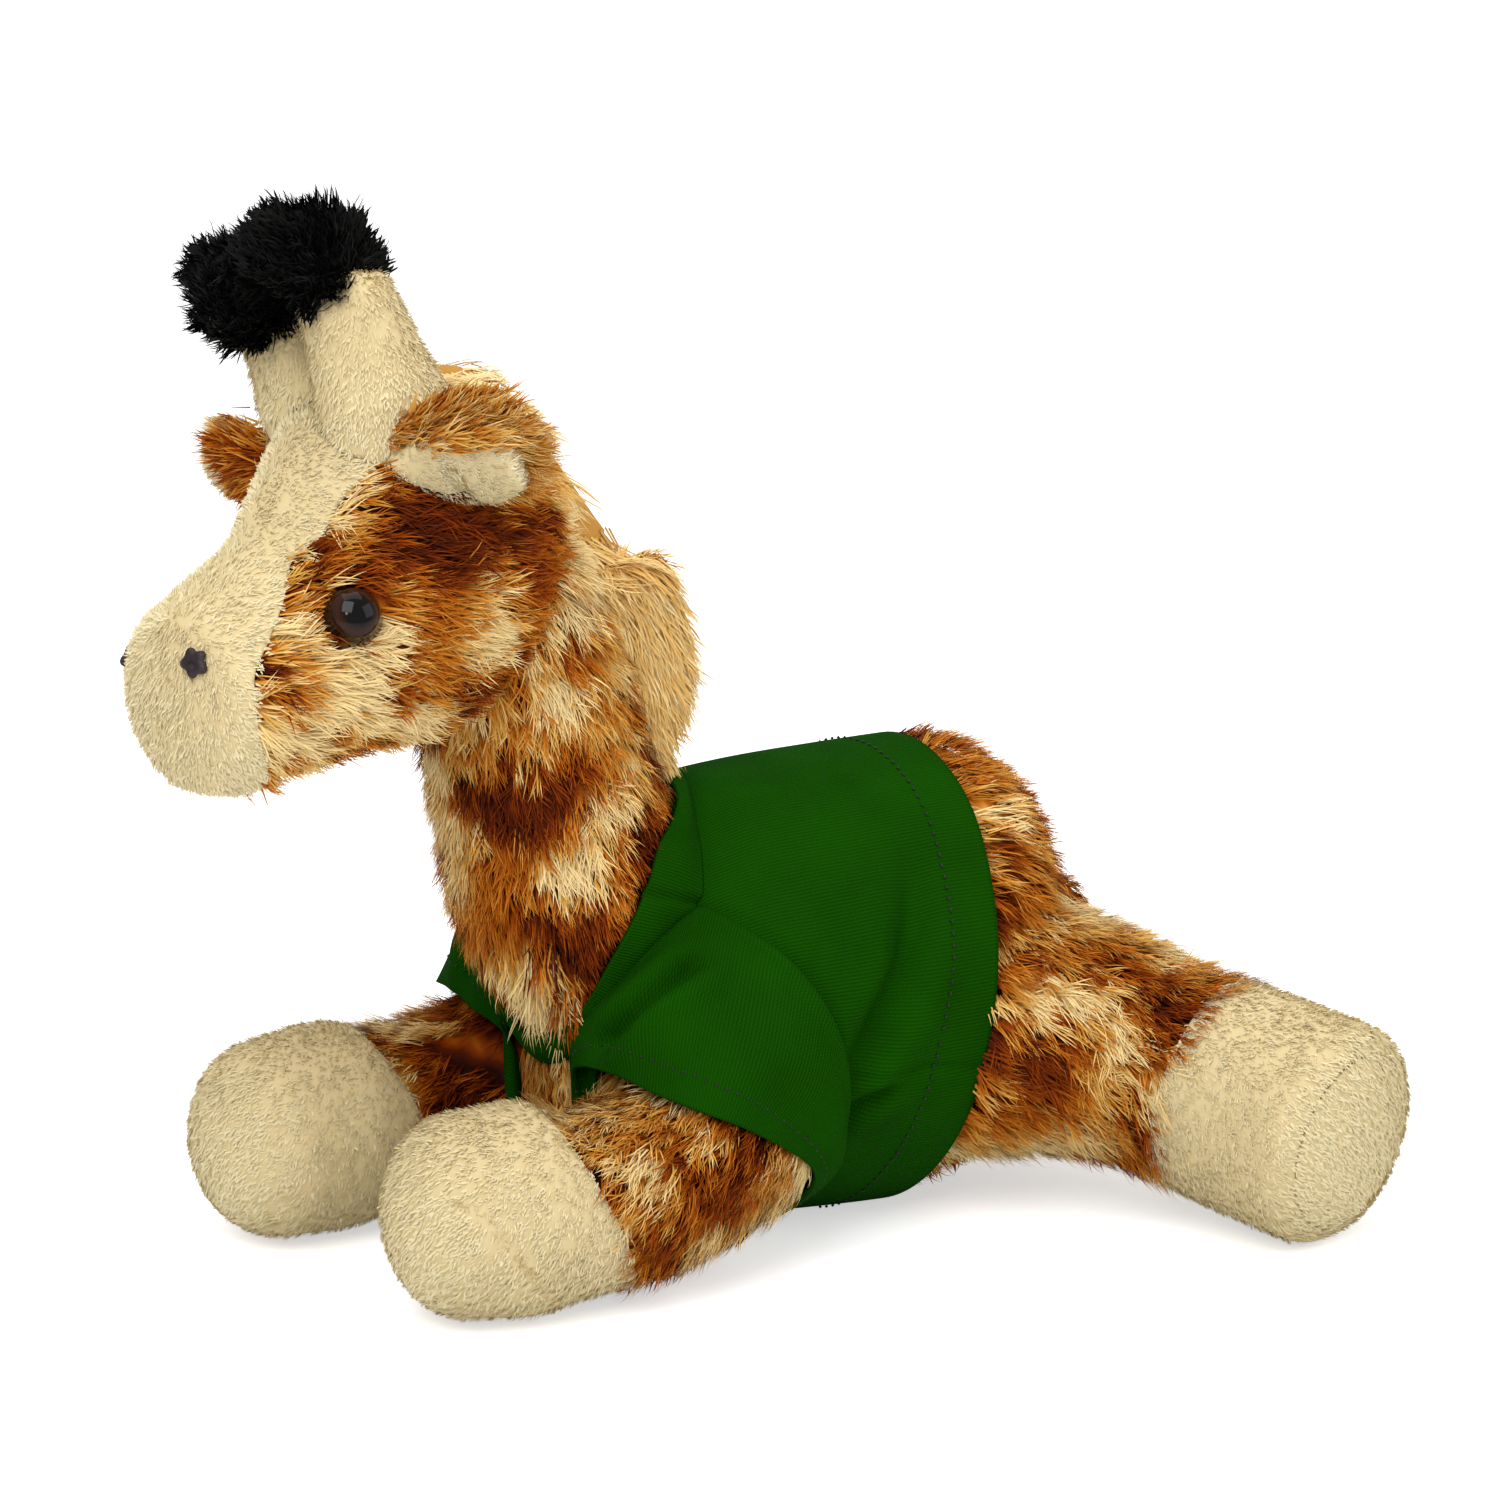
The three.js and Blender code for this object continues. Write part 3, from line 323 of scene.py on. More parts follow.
class Form:
    """A station is (place, half across, half upright, pinch)."""

    def __init__(self, stations, domes, facing=None, place=None, warp=None):
        self.ends = np.array([s[0] for s in stations], float)
        self.girths = np.array([[s[1], s[2], s[3] if len(s) > 3 else 0.0] for s in stations], float)
        self.domes = domes
        self.facing = facing
        self.place = place
        self.warp = warp

    def along(self, share):
        if self.facing is not None:
            return np.broadcast_to(self.facing, (len(share), 3))
        step = 1e-4
        return unit(curve_points(self.ends, share + step) - curve_points(self.ends, share - step))

    def at(self, v, turn, grow=0.0):
        """Points of the surface: v runs from -1 over the root's dome, 0 to 1 along the spine, to 2."""
        v, turn, grow = np.broadcast_arrays(np.asarray(v, float), turn, grow)
        shape = v.shape
        v, turn, grow = v.ravel(), turn.ravel(), grow.ravel()
        share = np.clip(v, 0, 1)
        cap = np.where(v < 0, v, np.maximum(v - 1, 0)) * math.pi / 2
        along = self.along(share)
        across = unit(np.cross(along, Z_AXIS))
        upright = unit(np.cross(across, along))
        depth = np.where(v < 0, self.domes[0], self.domes[1]) + grow
        girth = curve_points(self.girths, share)
        width = (girth[:, 0] + grow) * (1 - girth[:, 2] * np.sin(turn)) * np.cos(cap)
        height = (girth[:, 1] + grow) * np.cos(cap)
        points = curve_points(self.ends, share) + along * (depth * np.sin(cap))[:, None]
        points = points + across * (width * np.cos(turn))[:, None]
        points = points + upright * (height * np.sin(turn))[:, None]
        if self.warp is not None:
            points = self.warp(points)
        if self.place is not None:
            points = points @ self.place[:3, :3].T + self.place[:3, 3]
        return points.reshape(shape + (3,))

    def mesh(self, grow=0.0, around=72, rows=60):
        """Points and faces of the closed surface."""
        v = np.linspace(-0.97, 1.97, rows)
        turn = np.arange(around) * 2 * math.pi / around
        points = self.at(v[:, None], turn[None, :], grow).reshape(-1, 3)
        return closed_tube(points, rows, around)


def closed_tube(points, rows, around):
    """Faces of a grid of rings, closed by a point at each end."""
    first = points[:around].mean(0)
    last = points[-around:].mean(0)
    index = np.arange(rows * around).reshape(rows, around)
    beside = np.roll(index, -1, axis=1)
    quads = np.stack([index[:-1], index[1:], beside[1:], beside[:-1]], -1).reshape(-1, 4)
    count = len(points)
    faces = [tuple(q) for q in quads.tolist()]
    faces += [(count, int(a), int(b)) for a, b in zip(index[0], beside[0])]
    faces += [(count + 1, int(b), int(a)) for a, b in zip(index[-1], beside[-1])]
    return np.vstack([points, first, last]), faces


def carrying(move, turn):
    """The matrix that turns and then moves a form."""
    made = np.eye(4)
    made[:3, :3] = turn
    made[:3, 3] = move
    return made


def turn_about(axis, degrees):
    return np.array(Matrix.Rotation(math.radians(degrees), 3, Vector(axis)))


# Torso
SHIRT_CLOTH = 1.2
SHIRT_EASE = 0.5
FLOOR_FLAT = 0.5
TORSO_LENGTH = 76.0
TORSO_HALF_WIDTH = 34.5
TORSO_HALF_HEIGHT = 37.0
TORSO_FRONT_X = -50.0
TORSO_END_LIFT = 2.0
TORSO_DOMES = (8.0, 9.0)
torso_middle_z = TORSO_HALF_HEIGHT + SHIRT_CLOTH + SHIRT_EASE - FLOOR_FLAT
torso_shares = [
    (0, 0.64, 0.63), (0.11, 0.85, 0.87), (0.27, 0.97, 0.985), (0.46, 1, 1), (0.66, 1, 1), (0.82, 0.96, 0.98),
    (0.93, 0.83, 0.86), (1, 0.64, 0.66),
]
TORSO = Form([
    (
        (TORSO_FRONT_X + TORSO_LENGTH * along, 0, torso_middle_z + TORSO_END_LIFT * (1 - height)),
        TORSO_HALF_WIDTH * width,
        TORSO_HALF_HEIGHT * height,
    )
    for along, width, height in torso_shares
], TORSO_DOMES, facing=X_AXIS)

# Neck
NECK_HALF = 18.5
NECK_RISE = 62.0
NECK_ADVANCE = 28.0
NECK_DOME = 9.0
neck_shares = [
    (0, 0, 1.18, 1.28), (0.4, 0.2, 1.12, 1.16), (0.6, 0.46, 1.02, 1.03), (0.75, 0.74, 1, 1), (1, 1, 1, 1),
]
neck_stations = [
    (NECK_ROOT + vec(-NECK_ADVANCE * forward, 0, NECK_RISE * up), NECK_HALF * width, NECK_HALF * depth)
    for forward, up, width, depth in neck_shares
]
NECK = Form(neck_stations, (NECK_DOME, NECK_DOME))

# Head: forward, right and up from the skull's middle
HEAD_AT = neck_stations[-1][0] + vec(-19.0, -3.0, 8.0)
HEAD_YAW = 9
HEAD_ROLL = -10
NAPE_REACH = 24.0
MUZZLE_REACH = 38.5
HEAD_HALF_WIDTH = 23.0
HEAD_HALF_HEIGHT = 29.0
HEAD_DOMES = (6.0, 6.5)
HEAD_PLACE = carrying(HEAD_AT, turn_about((0, 0, 1), HEAD_YAW) @ turn_about((1, 0, 0), HEAD_ROLL))
head_shares = [
    (-1, -0.1, 0.7, 0.66, 0), (-0.6, -0.04, 0.95, 0.9, 0), (0, 0.01, 1.04, 1, 0.06),
    (0.3, 0.05, 0.95, 0.97, 0.14), (0.51, 0.21, 0.85, 0.83, 0.28), (0.69, 0.39, 0.83, 0.68, 0.26),
    (0.86, 0.49, 0.85, 0.63, 0.1), (1, 0.535, 0.75, 0.55, 0),
]
FAR_CHEEK_INSET = 5.5


def far_cheek(points):
    """The face is pressed in a little on its far side, between muzzle and horn."""
    ahead, right, up = -points[:, 0], points[:, 1], points[:, 2]
    share = ease(right, 0, 17) * ease(up, -9, 10) * ease(ahead, 3, 17) * (1 - ease(ahead, 26, 40))
    points[:, 1] -= FAR_CHEEK_INSET * share
    return points


HEAD = Form([
    (
        (-forward * (NAPE_REACH if forward < 0 else MUZZLE_REACH), 0, -drop * HEAD_HALF_HEIGHT),
        HEAD_HALF_WIDTH * width,
        HEAD_HALF_HEIGHT * height,
        pinch,
    )
    for forward, drop, width, height, pinch in head_shares
], HEAD_DOMES, facing=-X_AXIS, place=HEAD_PLACE, warp=far_cheek)
seam_shares = [
    (-0.06, 1.1), (0.04, 0.82), (0.135, 0.645), (0.29, 0.54), (0.42, 0.4), (0.5, 0.26), (0.62, 0.15),
    (0.735, -0.055), (0.88, -0.24), (0.98, -0.43), (0.97, -0.76), (0.86, -1.05), (0.8, -1.4),
]
SEAM = np.array([(forward * MUZZLE_REACH, up * HEAD_HALF_HEIGHT) for forward, up in seam_shares])


def in_head(forward, right, up):
    return HEAD_PLACE[:3, :3] @ vec(-forward, right, up) + HEAD_PLACE[:3, 3]


def head_way(forward, right, up):
    return HEAD_PLACE[:3, :3] @ vec(-forward, right, up)


def head_coordinates(points):
    """Forward, right and up of points, in the head's own frame."""
    local = (points - HEAD_PLACE[:3, 3]) @ HEAD_PLACE[:3, :3]
    return np.stack([-local[:, 0], local[:, 1], local[:, 2]], 1)


def ahead_of_seam(points):
    """How far points lie ahead of the face panel's seam, in the side view."""
    local = head_coordinates(points)
    order = np.argsort(SEAM[:, 1])
    return local[:, 0] - np.interp(local[:, 2], SEAM[order, 1], SEAM[order, 0])


# Legs
SHOULDER = (TORSO_FRONT_X + 18, 17.0, 30.0)
HIP = (TORSO_FRONT_X + TORSO_LENGTH - 14, 15.0, 32.0)
FRONT_ROOT_RADIUS = 22.5
FRONT_WRIST_RADIUS = 15.8
FRONT_HOOF_RADIUS = 18.0
FRONT_HOOF_DOME = 14.0
HIND_ROOT_RADIUS = 25.0
HIND_ANKLE_RADIUS = 19.0
HIND_HOOF_RADIUS = 19.6
HIND_HOOF_DOME = 8.0
SOLE_DEPTH = 4.0
FRONT_REACH = {"left": 57.0, "right": 66.0}
FRONT_SPREAD = {"left": 12.0, "right": 7.0}
HIND_REACH = 40.0
HIND_SPREAD = 52.0
HOOF_SEAM_LEAN = 0.36
SIDES = {"left": -1, "right": 1}
front_leg_shares = [
    (0, 0, 0, FRONT_ROOT_RADIUS), (0.17, 0.6, 0.35, FRONT_ROOT_RADIUS * 0.94),
    (0.4, 1.15, 0.8, FRONT_ROOT_RADIUS * 0.72), (0.66, 1.2, 1, FRONT_WRIST_RADIUS),
    (0.85, 1.05, 1, FRONT_HOOF_RADIUS), (1, 0.9, 1, FRONT_HOOF_RADIUS * 0.96),
]
hind_leg_shares = [
    (0, 0, 0, HIND_ROOT_RADIUS), (0.4, 0.18, 0.25, HIND_ROOT_RADIUS * 0.86),
    (0.7, 0.46, 0.6, HIND_ANKLE_RADIUS), (0.88, 0.74, 0.85, HIND_HOOF_RADIUS), (1, 1, 1, HIND_HOOF_RADIUS),
]


def leg_form(root, way, side, reach, spread, hoof_radius, shares, domes):
    x, y, z = root
    drop = z - (hoof_radius - FLOOR_FLAT)
    return Form([
        ((x + way * reach * along, side * (y + spread * out), z - drop * down), radius, radius)
        for along, out, down, radius in shares
    ], domes)


FRONT_LEGS = {
    name: leg_form(
        SHOULDER, -1, side, FRONT_REACH[name], FRONT_SPREAD[name], FRONT_HOOF_RADIUS,
        front_leg_shares, (FRONT_ROOT_RADIUS / 2, FRONT_HOOF_DOME),
    )
    for name, side in SIDES.items()
}
HIND_LEGS = {
    name: leg_form(
        HIP, 1, side, HIND_REACH, HIND_SPREAD, HIND_HOOF_RADIUS,
        hind_leg_shares, (HIND_ROOT_RADIUS / 2, HIND_HOOF_DOME),
    )
    for name, side in SIDES.items()
}


def cross_plane(form, share, advance=0.0, lean=0.0):
    along = form.along(np.array([share]))[0]
    point = curve_points(form.ends, np.array([share]))[0] + along * advance
    return point, unit(along - Z_AXIS * lean)


def past(points, plane):
    """How far points lie beyond a plane."""
    return (points - plane[0]) @ plane[1]


front_hoof_planes = {name: cross_plane(form, 0.6, 0, HOOF_SEAM_LEAN) for name, form in FRONT_LEGS.items()}
hind_hoof_planes = {name: cross_plane(form, 0.58) for name, form in HIND_LEGS.items()}
sole_planes = {name: cross_plane(form, 1, HIND_HOOF_DOME - SOLE_DEPTH) for name, form in HIND_LEGS.items()}
HEM_X = TORSO_FRONT_X + TORSO_LENGTH - 21
HEM_LEAN = 6.0
HEM_PLANE = (vec(HEM_X, 0, torso_middle_z), unit(vec(TORSO_HALF_HEIGHT, 0, -HEM_LEAN)))


# Meshes
def smooth(made):
    made.data.polygons.foreach_set("use_smooth", [True] * len(made.data.polygons))
    return made


def linked(name, mesh):
    made = bpy.data.objects.new(name, mesh)
    bpy.context.scene.collection.objects.link(made)
    return made


def new_object(name, points, faces, *materials):
    mesh = bpy.data.meshes.new(name)
    mesh.from_pydata(row(points).tolist(), [], faces)
    mesh.validate()
    mesh.update()
    for one in materials:
        mesh.materials.append(one)
    return smooth(linked(name, mesh))


def design_points(made):
    points = np.empty(len(made.data.vertices) * 3)
    made.data.vertices.foreach_get("co", points)
    return points.reshape(-1, 3) / MM - SHIFT


def write_facts(made, **facts):
    """Writes values on an object's points, for its material to read."""
    for key, values in facts.items():
        layer = made.data.attributes.new(key, "FLOAT", "POINT")
        layer.data.foreach_set("value", np.asarray(values, np.float32))
    return made


def applied(made):
    """The object with its modifiers applied."""
    graph = bpy.context.evaluated_depsgraph_get()
    mesh = bpy.data.meshes.new_from_object(made.evaluated_get(graph), depsgraph=graph)
    old = made.data
    made.modifiers.clear()
    made.data = mesh
    bpy.data.meshes.remove(old)
    return made


def carved(made, cutters, operation="DIFFERENCE"):
    """The object less, or within, closed shapes given as (points, faces)."""
    tools = []
    for i, (points, faces) in enumerate(cutters):
        tool = new_object(f"tool_{i}", points, faces)
        tools.append(tool)
        change = made.modifiers.new(f"cut_{i}", "BOOLEAN")
        change.operation = operation
        change.solver = "MANIFOLD"
        change.object = tool
    applied(made)
    for tool in tools:
        mesh = tool.data
        bpy.data.objects.remove(tool)
        bpy.data.meshes.remove(mesh)
    return made


def half_space(plane, shift=0.0, size=300.0):
    """A large box that stands on the far side of a plane."""
    point, normal = plane
    side = unit(np.cross(normal, [0.3, 0.9, 0.31]))
    other = np.cross(normal, side)
    base = point + normal * shift
    points = [
        base + side * a * size + other * b * size + normal * c * size
        for c in (0, 1) for a, b in ((-1, -1), (1, -1), (1, 1), (-1, 1))
    ]
    faces = [(3, 2, 1, 0), (4, 5, 6, 7), (0, 1, 5, 4), (1, 2, 6, 5), (2, 3, 7, 6), (3, 0, 4, 7)]
    return np.array(points), faces


def turned(shape, pivot, axis, degrees):
    points, faces = shape
    matrix = turn_about(axis, degrees)
    return (points - pivot) @ matrix.T + pivot, faces


def parent_paths(shape, joint_name):
    """Where a parent's shape comes to lie as its child turns, seen from the child."""
    joint = JOINT[joint_name]
    low, high = joint["range_deg"]
    pivot = PIVOT[joint_name]
    angles = sorted({low, 0, high})
    return [turned(shape, pivot, joint["axis"], -angle) for angle in angles]


class Inside:
    """Tells which points lie inside a closed surface."""

    def __init__(self, shape):
        points, faces = shape
        self.tree = BVHTree.FromPolygons(points.tolist(), faces)

    def depth(self, points):
        """Distance to the surface, positive inside."""
        result = np.empty(len(points))
        for i, point in enumerate(points):
            spot, normal, _, distance = self.tree.find_nearest(point)
            outside = (Vector(point) - spot).dot(normal) > 0
            result[i] = -distance if outside else distance
        return result

    def nearest(self, points):
        """The nearest spots on the surface, and the surface's normals there."""
        found = [self.tree.find_nearest(point)[:2] for point in points]
        return np.array([spot for spot, _ in found]), np.array([normal for _, normal in found])


def line_distance(points, line):
    """Distance of points from a polyline, and their share along it."""
    line = np.asarray(line, float)
    best = np.full(len(points), np.inf)
    share = np.zeros(len(points))
    spans = len(line) - 1
    for i in range(spans):
        way = line[i + 1] - line[i]
        part = np.clip(((points - line[i]) @ way) / (way @ way), 0, 1)
        distance = np.linalg.norm(points - line[i] - part[:, None] * way, axis=1)
        nearer = distance < best
        best[nearer] = distance[nearer]
        share[nearer] = (i + part[nearer]) / spans
    return best, share


def beside(points, line, width):
    """1 on a line, fading to 0 beside it."""
    return bell(line_distance(points, line)[0], width)


def thinned(line, count=24):
    return curve_points(line, np.linspace(0, 1, count))


# Pile: strands that lean, droop and gather in clumps
def scatter(form, per_square, grow=0.0, around=120, rows=160):
    """Random roots on a form with their normals, about per_square of them on each square millimetre."""
    v = np.linspace(-0.985, 1.985, rows)
    turn = np.linspace(0, 2 * math.pi, around + 1)
    grid = form.at(v[:, None], turn[None, :], grow)
    edge_v = grid[1:, :-1] - grid[:-1, :-1]
    edge_t = grid[:-1, 1:] - grid[:-1, :-1]
    cross = np.cross(edge_v, edge_t)
    area = np.linalg.norm(cross, axis=-1)
    middle = curve_points(form.ends, np.array([0.5]))[0]
    if form.place is not None:
        middle = form.place[:3, :3] @ middle + form.place[:3, 3]
    outward = np.sign(np.einsum("ijk,ijk->ij", cross, grid[:-1, :-1] - middle).sum())
    count = int(area.sum() * per_square)
    cell = rng.choice(area.size, size=count, p=(area / area.sum()).ravel())
    i, j = np.unravel_index(cell, area.shape)
    a, b = rng.random((2, count, 1))
    points = grid[i, j] + edge_v[i, j] * a + edge_t[i, j] * b
    place = np.stack([v[i] + a[:, 0] * (v[1] - v[0]), turn[j] + b[:, 0] * (turn[1] - turn[0])], 1)
    return points, unit(cross[i, j]) * outward, place


def rooted(form, density, inset, keeps, place_keep=None):
    """Roots, normals and places on a form, where every one of the keeps says yes."""
    found = scatter(form, density, inset)
    if place_keep is not None:
        chosen = place_keep(found[2])
        found = [part[chosen] for part in found]
    for keep_where in keeps:
        chosen = keep_where(found[0])
        found = [part[chosen] for part in found]
    return found


def tangent_to(ways, normals):
    ways = np.broadcast_to(ways, normals.shape)
    return unit(ways - normals * (ways * normals).sum(1, keepdims=True))


# A strand: two points at each of three widths and one at its tip, as three faces
BEND_SHARES = vec(0, 0.34, 0.7, 1)
RISE_SHARES = vec(0, 0.5, 0.88, 1)
WIDTH_SHARES = vec(1, 0.85, 0.5)
STRAND_POINTS = 7
STRAND_CORNERS = np.array([0, 1, 3, 2, 2, 3, 5, 4, 4, 5, 6])
STRAND_STARTS = np.array([0, 4, 8])
STRAND_CELL = vec(
    (0.1, 0.1), (0.5, 0.1), (0.48, 0.4), (0.12, 0.4), (0.12, 0.4), (0.48, 0.4),
    (0.42, 0.7), (0.18, 0.7), (0.18, 0.7), (0.42, 0.7), (0.3, 0.9),
)

FUR_LENGTH = 6.6
FUR_LIFT = 0.4
FUR_WIDTH = 0.31
FUR_CLUMPS = 0.5
FUR_PER_CLUMP = 8
FUR_SPREAD = 0.75
FUR_GATHER = 0.75
FUR_TANGLE = 0.3


def grow_pile(
    roots, normals, comb, tone, length, lift, width=FUR_WIDTH, per_clump=FUR_PER_CLUMP, spread=FUR_SPREAD,
    gather=FUR_GATHER, tangle=FUR_TANGLE,
):
    """Strand spines and facts from clump roots: each clump's strands lean alike and meet at its tip."""
    combs = tangent_to(comb(roots) if callable(comb) else comb, normals)
    clumps = len(roots)
    owner = np.repeat(np.arange(clumps), per_clump)
    side = np.cross(normals, combs)
    twist = rng.normal(0, tangle, clumps)[:, None]
    way = unit(combs * np.cos(twist) + side * np.sin(twist))
    clump_length = length * rng.uniform(0.75, 1.15, clumps)
    clump_lift = lift * rng.uniform(0.7, 1.3, clumps)
    offset = rng.normal(0, spread, (len(owner), 2))
    cross = np.cross(normals, way)
    base = roots[owner] + way[owner] * offset[:, :1] + cross[owner] * offset[:, 1:]
    own_way = unit(way[owner] + cross[owner] * rng.normal(0, tangle * 0.6, (len(owner), 1)))
    own_length = (clump_length[owner] * rng.uniform(0.7, 1.1, len(owner)))[:, None]
    own_lift = (clump_lift[owner] * rng.uniform(0.8, 1.2, len(owner)))[:, None]
    normal = normals[owner]
    pull = roots[owner] - base
    spine = np.stack([
        base + own_way * own_length * s * np.sqrt(np.maximum(1 - own_lift**2, 0.1))
        + normal * own_length * own_lift * r
        + pull * gather * s
        for s, r in zip(BEND_SHARES, RISE_SHARES)
    ], 1)
    across = unit(np.cross(normal, own_way))
    half = width * rng.uniform(0.7, 1.3, len(owner)) / 2
    return {
        "spine": spine,
        "across": across,
        "half": half,
        "tone": tone[owner],
        "chance": (rng.random(len(owner)) * 0.6 + rng.random(clumps)[owner] * 0.4),
    }


def joined(one, other):
    return {key: np.concatenate([one[key], other[key]]) for key in one}


def strand_object(name, pile, made_of):
    """One mesh of flat tapered strands, each with its own cell of the bake map."""
    spine, across, half = pile["spine"], pile["across"], pile["half"]
    count = len(spine)
    points = np.empty((count, STRAND_POINTS, 3))
    for step, share in enumerate(WIDTH_SHARES):
        shift = across * (half * share)[:, None]
        points[:, 2 * step] = spine[:, step] - shift
        points[:, 2 * step + 1] = spine[:, step] + shift
    points[:, -1] = spine[:, -1]
    strand = np.arange(count)[:, None]
    loops = strand * STRAND_POINTS + STRAND_CORNERS
    starts = strand * len(STRAND_CORNERS) + STRAND_STARTS
    mesh = bpy.data.meshes.new(name)
    mesh.vertices.add(count * STRAND_POINTS)
    mesh.vertices.foreach_set("co", row(points.reshape(-1, 3)).astype(np.float32).ravel())
    mesh.loops.add(loops.size)
    mesh.loops.foreach_set("vertex_index", loops.astype(np.int32).ravel())
    mesh.polygons.add(starts.size)
    mesh.polygons.foreach_set("loop_start", starts.astype(np.int32).ravel())
    mesh.update(calc_edges=True)
    made = write_facts(
        linked(name, mesh), tone=np.repeat(pile["tone"], STRAND_POINTS),
        chance=np.repeat(pile["chance"], STRAND_POINTS),
        along=np.tile(np.repeat(BEND_SHARES, 2)[:STRAND_POINTS], count),
    )
    cells = math.ceil(math.sqrt(count))
    corner = np.stack(np.divmod(np.arange(count), cells), 1) / cells
    layer = mesh.uv_layers.new(name="OFBake")
    uv = corner[:, None, :] + STRAND_CELL[None] / cells
    layer.data.foreach_set("uv", uv.astype(np.float32).ravel())
    mesh.materials.append(made_of)
    return smooth(made)


